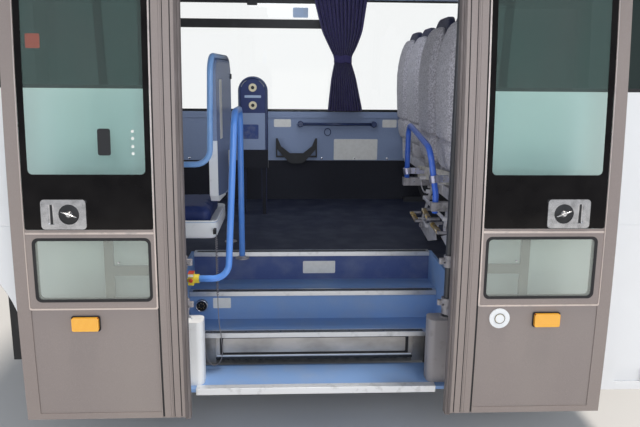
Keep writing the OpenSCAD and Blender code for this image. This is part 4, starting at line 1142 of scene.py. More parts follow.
@dataclass
class DoorLeaf:
    """One glazed leaf of the sliding plug door, standing open along the bus's side.

    Places on a leaf are u, from its meeting edge, and z; depths are from its skin inwards.
    """

    side: Side
    glass_u: Pair = (0.132, 0.685)
    glass_z: Pair = (1.236, 2.420)
    clear_u: Pair = (0.158, 0.656)
    clear_z: Pair = (1.478, 2.392)
    window_u: Pair = (0.153, 0.652)
    window_z: Pair = (0.915, 1.193)
    grooves: tuple[Triple, ...] = (  # from u, to u, depth in mm
        (0.0386, 0.0424, 3.0), (0.0706, 0.0734, 3.0), (0.1186, 0.1264, 3.0))
    groove_fill_mm: float = 2.2
    ribs: Triple = (0.0045, 0.0155, 0.0195)
    cross_bead_z: float = 1.2205
    screw: Pair = (0.290, 1.088)
    lock: Pair = (0.489, 1.306)
    lock_front: float = -0.0045
    knob_turn: float = 0.35
    knob_reach: float = 0.036
    rivet_u: Triple = (0.428, 0.540, 0.596)
    rivet_z: Pair = (1.253, 1.359)
    lamp: Pair = (0.448, 0.807)

    def at(self, u: float, z: float, depth: float) -> Vector:
        """A point on the leaf."""
        return row(self.side.value * (LEAF_TRAVEL + u), skin(z) + depth - LEAF_STANDOFF, z)

    def node(self, part: str) -> str:
        """The CAD node of one of the leaf's parts, or with "leaf" its body."""
        return f"{self.side.word}_leaf_{part}"

    @property
    def body(self) -> str:
        """The CAD body that the leaf's pieces ride on."""
        return f"{self.side.word}_leaf"

    def put(self, shape: Shape, part: str, finish: Finish, slot: str, edge_mm: float = 0.6) -> None:
        """Finishes a piece of this leaf."""
        shape.piece(f"{self.side.word}_{part}", finish, slot, edge_mm, self.body)

    def build(self) -> None:
        """Dresses the leaf's CAD nodes and adds what the photograph shows on it."""
        for part, finish, edge_mm in (
                ("frame", TAUPE, 0.8), ("panel", TAUPE_PANEL, 0.8), ("glass", LEAF_GLASS, 0.6),
                ("window", WINDOW_GLASS, 0.6), ("seal", EDGE_RUBBER, 1.0), ("lock", CHROME, 1.0),
                ("lamp", AMBER, 1.5)):
            dress([self.node(part)], finish, edge_mm)
        self.frit()
        self.beads()
        self.stripes()
        self.window_rubber()
        self.lock_fittings()
        self.lamp_ends()
        log.info("%s leaf dressed", self.side.word)

    def frit(self) -> None:
        """Adds the black band fired onto the upper glass."""
        outer = round_outline((self.glass_u[0] + 0.001, self.glass_z[0] + 0.001),
                              (self.glass_u[1] - 0.001, self.glass_z[1] - 0.001), 0.010, 5, 12)
        inner = round_outline((self.clear_u[0], self.clear_z[0]), (self.clear_u[1], self.clear_z[1]),
                              0.020, 5, 12)
        shape = Shape().frame(outer, inner, self.at, (0.0011, 0.0017), steps=6)
        self.put(shape, "glass_frit", FRIT, "leaf_glass", 0.0)

    def beads(self) -> None:
        """Adds the bright bead round the glazing and the strip above the lower window."""
        outer = round_outline((0.1245, 0.872), (0.690, 2.426), 0.008, 4, 16)
        inner = round_outline((0.1315, 0.879), (0.6865, 2.4215), 0.008, 4, 16)
        ring = Shape().frame(outer, inner, self.at, (-0.0022, 0.0012))
        self.put(ring, "glazing_bead", BEAD, "aluminium_strip")
        low, high = (0.1325, self.cross_bead_z - 0.0045), (0.6855, self.cross_bead_z + 0.0045)
        strip = Shape().plate(round_outline(low, high, 0.002), self.at, (-0.0012, 0.0022))
        self.put(strip, "cross_bead_0", BEAD, "aluminium_strip")

    def stripes(self) -> None:
        """Lays rubber into the long grooves of the meeting stile and ribs on its seal."""
        rubber, ribs, steps = Shape(), Shape(), 16
        for a, b, deep in self.grooves:
            proud = deep - self.groove_fill_mm
            section = ((a, deep), (a, proud), (b, proud), (b, deep))
            rubber.loops([[self.at(u, 0.340 + 2.11 * k / steps, d * MM) for u, d in section]
                          for k in range(steps + 1)])
        self.put(rubber, "stile_rubber", BLACK_RUBBER, "leaf_rubber", 0.0)
        for u in self.ribs:
            ribs.tube([self.at(u, 0.328 + 2.13 * k / steps, -0.0004) for k in range(steps + 1)], 0.0014, 8)
        self.put(ribs, "seal_ribs", EDGE_RUBBER, "leaf_rubber", 0.0)

    def window_rubber(self) -> None:
        """Adds the rubber round the lower window, and the small screw in it."""
        a, b = self.window_u, self.window_z
        outer = round_outline((a[0] - 0.007, b[0] - 0.007), (a[1] + 0.007, b[1] + 0.007), 0.027, 6, 4)
        inner = round_outline((a[0] + 0.006, b[0] + 0.006), (a[1] - 0.006, b[1] - 0.006), 0.018, 6, 4)
        ring = Shape().frame(outer, inner, self.at, (-0.0012, 0.0028))
        self.put(ring, "window_rubber", BLACK_RUBBER, "leaf_rubber")
        screw = Shape().lathe([(0.0, -0.0015), (0.004, -0.001), (0.005, 0.0028)],
                              self.at(*self.screw, 0.0), INWARDS, 16)
        self.put(screw, "window_screw", CHROME, "lock_metal", 0.0)

    def lock_fittings(self) -> None:
        """Adds the lock's black disc, winged knob, key slot and rivets."""
        (u, z), front = self.lock, self.lock_front
        centre = self.at(u, z, front - 0.0035)
        disc = Shape().lathe([(0.0, 0.0), (0.041, 0.0), (0.044, 0.0015), (0.044, 0.006)], centre, INWARDS, 40)
        self.put(disc, "lock_disc", BLACK_PLASTIC, "black_plastic", 0.0)
        profile = [(0.0, -0.010), (0.010, -0.0095), (0.0125, -0.006), (0.015, 0.0)]
        knob = Shape().lathe(profile, centre, INWARDS, 24)
        for turn in (self.knob_turn, self.knob_turn + math.pi):
            du, dz = self.knob_reach * math.cos(turn), self.knob_reach * math.sin(turn)
            wing = [self.at(u + du * k / 4, z + dz * k / 4, front - 0.0075) for k in range(5)]
            knob.tube(wing, [0.0078, 0.0082, 0.0078, 0.0066, 0.0035], 12, 0.55)
        self.put(knob, "lock_knob", CHROME, "lock_metal", 0.0)
        slot = Shape().plate(round_outline((0.560, 1.256), (0.570, 1.356), 0.004), self.at,
                             (front - 0.0012, front + 0.002))
        self.put(slot, "lock_slot", BLACK_PLASTIC, "black_plastic", 0.0)
        rivets = [self.at(rivet_u, rivet_z, front) for rivet_u in self.rivet_u for rivet_z in self.rivet_z]
        studs = Shape().lathes([(0.0, -0.0018), (0.0028, -0.0012), (0.0036, 0.001)], rivets)
        self.put(studs, "lock_rivets", CHROME, "lock_metal", 0.0)

    def lamp_ends(self) -> None:
        """Adds the darker ends and the black gasket of the amber lamp."""
        u, z = self.lamp
        for index, sign in enumerate((-1, 1)):
            a, b = sorted((u + sign * 0.0585, u + sign * 0.0475))
            end = Shape().plate(round_outline((a, z - 0.0305), (b, z + 0.0305), 0.004), self.at,
                                (-0.0188, 0.0005))
            self.put(end, f"lamp_end_{index}", AMBER_END, "amber_lens", 1.0)
        outer = round_outline((u - 0.064, z - 0.036), (u + 0.064, z + 0.036), 0.010, 5)
        inner = round_outline((u - 0.0595, z - 0.0315), (u + 0.0595, z + 0.0315), 0.008, 5)
        ring = Shape().frame(outer, inner, self.at, (-0.004, 0.0025))
        self.put(ring, "lamp_gasket", BLACK_RUBBER, "leaf_rubber")


@dataclass
class LeftLeaf(DoorLeaf):
    """The left leaf, with a keypad behind its glass."""

    side: Side = Side.LEFT
    dot_u: float = 0.207
    dot_z: tuple[float, ...] = (1.663, 1.633, 1.598, 1.568)

    def build(self) -> None:
        """Adds the keypad and its four small dots."""
        super().build()
        pad = Shape().plate(round_outline((0.301, 1.560), (0.356, 1.674), 0.010), self.at, (0.0004, 0.0016))
        self.put(pad, "glass_keypad", BLACK_PLASTIC, "black_plastic")
        dots = Shape()
        for z in self.dot_z:
            dots.plate(disc_outline((self.dot_u, z), 0.0065, 16), self.at, (0.0008, 0.0016))
        self.put(dots, "glass_dots", BLANK_FILM, "white_moulding", 0.0)


@dataclass
class RightLeaf(DoorLeaf):
    """The right leaf, with a round push button."""

    side: Side = Side.RIGHT
    button: Pair = (0.228, 0.815)
    ring_radius: float = 0.0235

    def build(self) -> None:
        """Dresses the button and adds its beige middle and ring."""
        super().build()
        dress([self.node("button")], WHITE_PLASTIC, 1.5)
        centre = self.at(*self.button, 0)
        centre.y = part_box(self.node("button"))[0].y
        profile = [(0.0, 0.0004), (0.018, 0.0004), (0.022, 0.002), (0.022, 0.006)]
        cap = Shape().lathe(profile, centre, INWARDS, 40)
        self.put(cap, "button_cap", CREAM_PLASTIC, "white_moulding", 0.0)
        radii = (self.ring_radius, self.ring_radius)
        line = ring_path(lambda a, b, depth: centre + Vector((a, depth, b)), (0, 0), radii, 0.0016, 40)
        self.put(Shape().tube(line, 0.0011, 8), "button_ring", BLACK_RUBBER, "leaf_rubber", 0.0)


@dataclass
class Columns:
    """The two turning columns that carry the leaves."""

    lugs: tuple[Pair, ...] = ((0.133, 0.764), (0.137, 0.985))  # y and z of each collar's screw
    lug_x: float = 0.645
    collar_half: float = 0.060

    def on_collar(self, place: Vector) -> bool:
        """Whether a place lies on one of the cast collars."""
        return any(abs(place.z + MOUNT_HEIGHT - z) < self.collar_half for _, z in self.lugs)

    def build(self) -> None:
        """Dresses each column and adds its collar screws."""
        for side in Side:
            column = f"{side.word}_column"
            dress([column], COLUMN, 1.0)
            dress_part(column, CAST, self.on_collar)
            centres = [row(side.value * self.lug_x, y, z) for y, z in self.lugs]
            profile = [(0.0, -0.006), (0.006, -0.006), (0.0068, -0.005), (0.0068, 0.001)]
            Shape().lathes(profile, centres, sides=6).piece(
                f"{side.word}_collar_screws", CHROME, "lock_metal", body=column)
        log.info("columns dressed")


# Entrance


@dataclass
class StepWell:
    """The steps, their nosings, the riser plates and the worn sill."""

    nosings: tuple[Triple, ...] = (  # height, front edge and half width
        (0.542, 0.331, 0.610), (0.707, 0.536, 0.700), (0.878, 0.754, 0.700))
    screw_count: int = 7
    plates: tuple[tuple[float, Plate], ...] = (
        (0.536, Plate("riser_plate", (-0.570, 0.607), (-0.470, 0.668), 0.006, (-0.0014, 0.0),
                      BLANK_FILM, "white_moulding")),
        (0.754, Plate("top_riser_plate", (-0.057, 0.744), (0.136, 0.820), 0.006, (-0.0014, 0.0),
                      BLANK_FILM, "white_moulding")))

    def build(self) -> None:
        """Dresses the steps and adds screws, grip strips and blank plates."""
        dress(["step_well"], STEP_VINYL, 1.0)
        dress_part("step_well", BLACK_PLASTIC, self.beside_cassette)
        # painted shade: the top riser takes the darker blue vinyl
        dress_part("step_well", SHADED_TOP_VINYL, self.on_top_riser)
        # painted shade: the deck takes the dark navy vinyl
        dress(["floor_deck"], DECK_VINYL, 1.0)
        dress(["step_nosings"], ALUMINIUM, 1.0)
        dress(["entry_sill"], SILL, 1.5)
        self.grips()
        for y, plate in self.plates:
            plate.build(facing(y))
        log.info("step well dressed")

    def beside_cassette(self, place: Vector) -> bool:
        """Whether a place lies on the dark ends of the riser beside the lift cassette."""
        return abs(place.x) > 0.5 and 0.385 < place.z + MOUNT_HEIGHT < 0.535 and place.y + BUS_MID > 0.25

    def on_top_riser(self, place: Vector) -> bool:
        """Whether a place lies on the top riser, whose darker blue is painted shade."""
        return place.z + MOUNT_HEIGHT > 0.715 and place.y + BUS_MID > 0.70

    def grips(self) -> None:
        """Adds dark grip strips on the nosings and the screws between them."""
        grips, screws = Shape(), Shape()
        for z, y, half in self.nosings:
            for dy in (-0.006, 0.010):
                grips.box(row(-half + 0.02, y + dy - 0.0035, z + 0.0025),
                          row(half - 0.02, y + dy + 0.0035, z + 0.0046))
            ends = [-1 + 2 * k / (self.screw_count - 1) for k in range(self.screw_count)]
            screws.lathes([(0.0, 0.0012), (0.003, 0.0008), (0.004, -0.001)],
                          [row(end * (half - 0.05), y + 0.002, z + 0.0035) for end in ends], UPWARDS)
        grips.piece("nosing_grips", BLACK_RUBBER, "black_plastic", 0.4)
        screws.piece("nosing_screws", CHROME, "lock_metal")


@dataclass
class LiftCassette:
    """The wheelchair lift's cassette under the lowest step, with its brush."""

    face_y: float = 0.343
    lip_half: float = 0.532
    lip_z: Pair = (0.4040, 0.5178)
    screw_count: int = 21
    tufts: int = 300

    def build(self) -> None:
        """Dresses the cassette and adds its border, lips, screws and bristles."""
        dress(["lift_cassette"], STAINLESS, 1.0)
        outer = round_outline((-0.5155, 0.4085), (0.5155, 0.5112), 0.004)
        inner = round_outline((-0.500, 0.4185), (0.500, 0.5010), 0.006)
        Shape().frame(outer, inner, facing(self.face_y), (0.0030, 0.0062)).piece(
            "cassette_border", BLACK_RUBBER, "black_plastic", 0.6)
        for index, z in enumerate(self.lip_z):
            lip = Shape().box(row(-self.lip_half, self.face_y - 0.0030, z - 0.0032),
                              row(self.lip_half, self.face_y + 0.0005, z + 0.0032))
            lip.piece(f"cassette_lip_{index}", SILL, "aluminium_strip", 0.8)
        centres = [row(-0.50 + k * 0.05, self.face_y - 0.003, self.lip_z[1]) for k in range(self.screw_count)]
        Shape().lathes([(0.0, -0.0018), (0.0028, -0.0014), (0.0036, 0.0004)], centres, sides=10).piece(
            "cassette_screws", CHROME, "lock_metal")
        self.bristles()
        log.info("lift cassette dressed")

    def bristles(self) -> None:
        """Replaces the brush's solid by a spine and two ranks of bristle tufts."""
        low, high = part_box("cassette_brush")
        shape = Shape().box(Vector((low.x, low.y, high.z - 0.014)), high)
        depth = (high.y - low.y) / 2
        for rank in range(2):
            for k in range(self.tufts):
                x = low.x + 0.002 + (high.x - low.x - 0.004) * (k + 0.5 * rank) / (self.tufts - 0.5)
                y = low.y + depth * (0.5 + rank)
                sway = 0.0016 * math.sin(12.9 * k + 5 * rank)
                foot_x = min(max(x + sway, low.x + 0.001), high.x - 0.001)
                foot = Vector((foot_x, y + 0.3 * sway, low.z + 0.0008 * (1 + math.sin(7.7 * k))))
                shape.tube([Vector((x, y, high.z - 0.013)), foot], [0.0017, 0.0008], 5)
        brush = shape.piece("cassette_bristles", BLACK_PLASTIC, "black_plastic")
        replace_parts(brush, "cassette_brush")


@dataclass
class FootCovers:
    """Moulded covers over the feet of the columns, and the socket in the riser."""

    socket: Pair = (-0.633, 0.626)
    socket_y: float = 0.5195
    ring_radius: float = 0.0315
    pin_circle: float = 0.015
    pin_count: int = 7

    def build(self) -> None:
        """Dresses the covers and adds the socket's chrome ring and pins."""
        dress(["foot_covers"], WHITE_PLASTIC, 2.0)
        # painted shade: the right cover takes the greyer moulding
        dress_part("foot_covers", SHADED_COVER, lambda place: place.x > 0)
        dress(["riser_socket"], BLACK_PLASTIC, 1.0)
        on_face = facing(self.socket_y)
        line = ring_path(on_face, self.socket, (self.ring_radius, self.ring_radius), 0.0010, 48)
        Shape().tube(line, 0.0030, 10).piece("socket_ring", CHROME, "lock_metal")
        centres = [on_face(x, z, 0) for x, z in disc_outline(self.socket, self.pin_circle, self.pin_count)]
        Shape().lathes([(0.0, -0.003), (0.0022, -0.0025), (0.0026, 0.001)], centres, sides=10).piece(
            "socket_pins", GOLD_STEEL, "lock_metal")
        log.info("foot covers dressed")


@dataclass
class HandRails:
    """The painted tubes by the doorway, their flanges, clamps and switch box."""

    deck_z: float = 0.8792
    flanges: tuple[tuple[str, float, float, float], ...] = (  # rail, x, y and tube radius
        ("entry_rail", -0.407, 0.610, 0.017), ("partition_rail", -0.505, 1.000, 0.016))
    flange_profile: tuple[Pair, ...] = (
        (0.0006, 0.0), (0.022, 0.0), (0.022, 0.004), (0.008, 0.007), (0.0006, 0.016))
    switch_face: Triple = (-0.6375, 0.190, 0.881)
    clamp_screws: tuple[Triple, ...] = (
        (0.640, 0.988, 1.262), (0.684, 0.988, 1.262), (0.668, 0.308, 1.236), (0.700, 0.308, 1.236))

    def build(self) -> None:
        """Dresses the rails and adds the fittings at their ends."""
        dress(["entry_rail"], ENTRY_BLUE, 0.0)
        # painted light and shade: the partition rail's front run is pale as if sunlit, its rear run navy as
        # if shaded
        dress(["partition_rail"], SUNLIT_RAIL, 0.0)
        dress_part("partition_rail", NAVY_RAIL, lambda place: place.y + BUS_MID > 0.75)
        dress(["right_rail"], BLUE_RAIL, 0.0)
        dress(["far_grab_rail"], NAVY_RAIL, 0.0)
        dress(["rail_clamps"], CAST, 1.0)
        dress(["switch_box"], YELLOW_PLASTIC, 1.5)
        for rail, x, y, r in self.flanges:
            profile = [(r + out, up) for out, up in self.flange_profile]
            flange = Shape().lathe(profile, row(x, y, self.deck_z), UPWARDS, 36)
            flange.piece(f"{rail}_flange", CAST, "stainless")
        self.switches()
        screws = Shape().lathes([(0.0, -0.004), (0.0045, -0.004), (0.0052, -0.003), (0.0052, 0.0005)],
                                [row(*place) for place in self.clamp_screws])
        screws.piece("clamp_screws", CHROME, "lock_metal")
        log.info("handrails dressed")

    def switches(self) -> None:
        """Adds the orange-red button, the label and the red cap on the yellow box."""
        profile = [(0.0, -0.0095), (0.0085, -0.009), (0.0105, -0.006), (0.0105, 0.0)]
        button = Shape().lathe(profile, row(*self.switch_face), INWARDS, 28)
        button.piece("switch_button", RED_PLASTIC, "yellow_plastic")
        Plate("switch_label", (-0.651, 0.900), (-0.624, 0.913), 0.003, (-0.0016, 0.0), BLANK_FILM,
              "yellow_plastic", 0.3).build(facing(self.switch_face[1]))
        cap = Shape().box(row(-0.6525, 0.1895, 0.9152), row(-0.6225, 0.2395, 0.9185))
        cap.piece("switch_cap", RED_PLASTIC, "yellow_plastic", 1.0)


@dataclass
class Partition:
    """The thick moulded panel beside the wheelchair space.

    Places on its face are a length forward from its rear tube, and z.
    """

    rear: Pair = (-0.505, 1.000)
    turn: float = math.atan(40 / 530)
    half_thick: float = 0.021
    panel_length: float = 0.5125
    clip_z: Triple = (1.300, 1.620, 1.880)
    plates: tuple[Plate, ...] = (
        Plate("partition_face", (0.024, 1.245), (0.506, 1.972), 0.075, (-0.001, 0.0012), GLOSS_LINING,
              "wall_lining", 0.8),
        Plate("partition_strip", (0.340, 1.560), (0.410, 1.880), 0.006, (0.0010, 0.0022), BLANK_FILM,
              "white_moulding", 0.3),
        Plate("partition_strip_low", (0.080, 1.300), (0.150, 1.470), 0.006, (0.0010, 0.0022), BLANK_FILM,
              "white_moulding", 0.3))

    def at(self, along: float, z: float, depth: float) -> Vector:
        """A place on the panel's face towards the doorway."""
        out = self.half_thick + depth
        return row(self.rear[0] + out * math.cos(self.turn) - along * math.sin(self.turn),
                   self.rear[1] - out * math.sin(self.turn) - along * math.cos(self.turn), z)

    def build(self) -> None:
        """Dresses the panel and adds its white edge, laminate face, blank strips and clips."""
        dress(["partition_panel"], LINING, 4.0)
        self.edge()
        for plate in self.plates:
            plate.build(self.at)
        clips = Shape()
        for z in self.clip_z:
            top = z + 0.030
            clips.plate([(0.016, z), (0.052, z), (0.052, top), (0.016, top)], self.at, (0.0008, 0.006))
        clips.piece("partition_clips", BLACK_PLASTIC, "black_plastic", 1.0)
        log.info("partition dressed")

    def edge(self) -> None:
        """Adds the white profile along the panel's front and lower edges, below the rail's bend."""
        front, middle = self.panel_length, self.panel_length * 0.55
        upright = [(front - 0.004, 1.262), (front + 0.0035, 1.262),
                   (front + 0.0035, 1.560), (front - 0.004, 1.560)]
        level = [(middle, 1.229), (front - 0.030, 1.229), (front - 0.004, 1.262), (middle, 1.240)]
        shape = Shape()
        for outline in (upright, level):
            shape.plate(outline, self.at, (-0.044, 0.003))
        shape.piece("partition_edge", WHITE_PLASTIC, "white_moulding", 2.0)


# Soft pieces


def inflate(obj: bpy.types.Object, voxel_mm: float, cap_mm: float, pressure: float = 4.0) -> None:
    """Swells a closed form by a cloth simulation, so that it is crowned like a stuffed cover.

    Args:
        obj: the form, a little smaller than the finished pad.
        voxel_mm: spacing of the mesh that is simulated.
        cap_mm: the farthest that a point may move.
        pressure: pressure inside the cover.
    """
    remesh = obj.modifiers.new("even_mesh", "REMESH")
    remesh.mode = "VOXEL"
    remesh.voxel_size = voxel_mm * MM
    baked(obj)
    rest = [v.co.copy() for v in obj.data.vertices]
    cloth = obj.modifiers.new("inflate", "CLOTH")
    cloth.settings.use_pressure = True
    cloth.settings.uniform_pressure_force = pressure
    cloth.settings.quality = 4
    cloth.settings.effector_weights.gravity = 0
    cloth.point_cache.frame_start = 1
    cloth.point_cache.frame_end = 20
    for number in range(1, 21):
        bpy.context.scene.frame_set(number)
    baked(obj)
    for vertex, start in zip(obj.data.vertices, rest):
        move = vertex.co - start
        if move.length > cap_mm * MM:
            vertex.co = start + move * (cap_mm * MM / move.length)
    bpy.context.scene.frame_set(1)


def soften(obj: bpy.types.Object) -> None:
    """Subdivides a soft piece once and shades it smooth."""
    smooth = obj.modifiers.new("subdivide", "SUBSURF")
    smooth.levels = smooth.render_levels = 1
    baked(obj)
    obj.data.shade_smooth()


@dataclass
class SeatRows:
    """Two double seats seen from behind: stuffed backs, cushions, and their cast bases."""

    places: tuple[Pair, ...] = ((0.720, 0.425), (0.720, 0.905), (0.800, 1.750), (0.800, 2.215))
    back_z: float = 1.400
    cushion_z: float = 1.300
    leg_top: float = 1.214
    width: float = 0.440
    back_height: float = 0.850
    back_thick: float = 0.145
    back_set: float = -0.050
    bow_height: float = 0.490
    top_set: float = 0.080
    foot_set: float = 0.035
    seam_height: float = 0.172
    seam_depth: float = 0.014
    cushion_size: Pair = (0.430, 0.090)
    back_rows: tuple[Pair, ...] = (  # height and half width
        (0.008, 0.150), (0.022, 0.186), (0.055, 0.202), (0.110, 0.206), (0.160, 0.202), (0.185, 0.202),
        (0.260, 0.208), (0.400, 0.211), (0.520, 0.211), (0.600, 0.208), (0.670, 0.200), (0.715, 0.188),
        (0.752, 0.168), (0.778, 0.140), (0.792, 0.105))
    rim: float = 1.062
    cover_crown: float = 0.022

    def build(self) -> None:
        """Makes one back and one cushion, and sets them at the four places."""
        dress(["seat_frames"], SEAT_CAST, 1.5)
        dress_part("seat_frames", LEG_BLACK, lambda place: place.z + MOUNT_HEIGHT < self.leg_top)
        back, front, cushion = self.back(), self.front_pad(), self.cushion()
        for index, (x, y) in enumerate(self.places):
            behind = row(x + self.back_set, y, self.back_z)
            backs, cushions = ("seat_backs", "seat_cushions") if index == 0 else (None, None)
            self.place(back, f"seat_back_{index}", behind, backs)
            self.place(front, f"seat_front_pad_{index}", behind, None)
            self.place(cushion, f"seat_cushion_{index}", row(x + 0.040, y, self.cushion_z), cushions)
            self.armrest(index, x, y)
        for model in (back, front, cushion):
            bpy.data.objects.remove(model)
        log.info("seats made")

    def place(self, model: bpy.types.Object, name: str, spot: Vector, replaced: str | None) -> None:
        """Sets a copy of a soft piece at a spot.

        Args:
            model: the piece at the origin.
            name: the copy's name.
            spot: where its origin goes.
            replaced: the CAD node that it stands for, if any.
        """
        obj = show(name, model.data)
        obj.matrix_world = Matrix.Translation(spot)
        seat(obj, "bay", "seat_cloth")
        if replaced:
            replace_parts(obj, replaced)

    def rear(self, at: float) -> float:
        """How far the back's rear face lies forward of its rearmost point at a height."""
        if at > self.bow_height:
            return self.top_set * ((at - self.bow_height) / (self.back_height - self.bow_height)) ** 2
        return self.foot_set * ((self.bow_height - at) / self.bow_height) ** 2

    def front(self, at: float) -> float:
        """Where the back's front face lies at a height."""
        foot, top = self.foot_set + 0.110, self.top_set + 0.046
        return foot + (top - foot) * at / self.back_height

    def section(self, at: float, half: float, near: float, far: float, count: int = 36) -> list[Vector]:
        """A rounded oblong across the back.

        Args:
            at: its height.
            half: half of its width.
            near: where it starts, as a share of the back's thickness there.
            far: where it ends.
            count: its points.

        Returns:
            The points in order.
        """
        rear, front = self.rear(at), self.front(at)
        low, high = rear + (front - rear) * near, rear + (front - rear) * far
        ring = []
        for c, s in disc_outline((0, 0), 1, count):
            ring.append(Vector(((low + high) / 2 + (high - low) / 2 * math.copysign(abs(s) ** 0.5, s),
                                half * math.copysign(abs(c) ** 0.36, c), at)))
        return ring

    def back(self) -> bpy.types.Object:
        """Makes the stuffed rear of a back: a lofted form, swelled, with its seam sewn in."""
        shape = Shape().loops([self.section(at, half, -0.02, 0.46) for at, half in self.back_rows])
        obj = show("seat_back_model", shape.data("seat_back_model", GREY_CLOTH))
        inflate(obj, 8.0, 15.0)
        soften(obj)
        self.sew(obj)
        keep_inside(obj, Vector((-self.cover_crown, -self.width / 2 + 0.001, 0.001)),
                    Vector((self.back_thick - 0.001, self.width / 2 - 0.001, self.back_height - 0.001)))
        return obj

    def front_pad(self) -> bpy.types.Object:
        """Makes the dark front of a back, whose edge shows as a rim over the shoulders."""
        rows = [(at * self.rim, min(half + 0.010, self.width / 2 - 0.001)) for at, half in self.back_rows]
        shape = Shape().loops([self.section(at, half, 0.30, 1.0) for at, half in rows])
        obj = show("seat_front_model", shape.data("seat_front_model", NAVY_CLOTH))
        soften(obj)
        return obj

    def cushion(self) -> bpy.types.Object:
        """Makes the seat cushion: a block whose sides pull in between its corners."""
        depth, thick = self.cushion_size
        low, high = (0.014, -self.width / 2 + 0.014), (depth - 0.014, self.width / 2 - 0.014)
        outline = round_outline(low, high, 0.045, 6, 4)
        steps = ((0.94, 0.010), (1.0, 0.026), (1.0, thick - 0.030), (0.95, thick - 0.014))
        rings = [[Vector((depth / 2 + (a - depth / 2) * share, b * share, height)) for a, b in outline]
                 for share, height in steps]
        obj = show("seat_cushion_model", Shape().loops(rings).data("seat_cushion_model", GREY_CLOTH))
        inflate(obj, 9.0, 14.0)
        soften(obj)
        keep_inside(obj, Vector((0.001, -self.width / 2 + 0.001, 0.001)),
                    Vector((depth - 0.001, self.width / 2 - 0.001, thick - 0.001)))
        return obj

    def sew(self, obj: bpy.types.Object) -> None:
        """Pulls the cover in along its level seam."""
        reach = 0.055
        middle = self.rear(self.seam_height) + reach
        for vertex in obj.data.vertices:
            pull = math.exp(-(((vertex.co.z - self.seam_height) / 0.010) ** 2))
            vertex.co.x -= (vertex.co.x - middle) * pull * self.seam_depth / reach
            vertex.co.y -= vertex.co.y * pull * 0.045

    def armrest(self, index: int, x: float, y: float) -> None:
        """Adds the dark blue armrest at the side of a seat."""
        side = y + (-0.198 if index % 2 == 0 else 0.198)
        stops = ((0.060, 1.470), (0.110, 1.560), (0.200, 1.596), (0.330, 1.600), (0.395, 1.592))
        line = smooth_path([row(x + ahead, side, z) for ahead, z in stops], 5)
        Shape().tube(line, 0.0195, 12, 0.8).piece(f"seat_{index}_armrest", NAVY_VINYL, "seat_cloth")


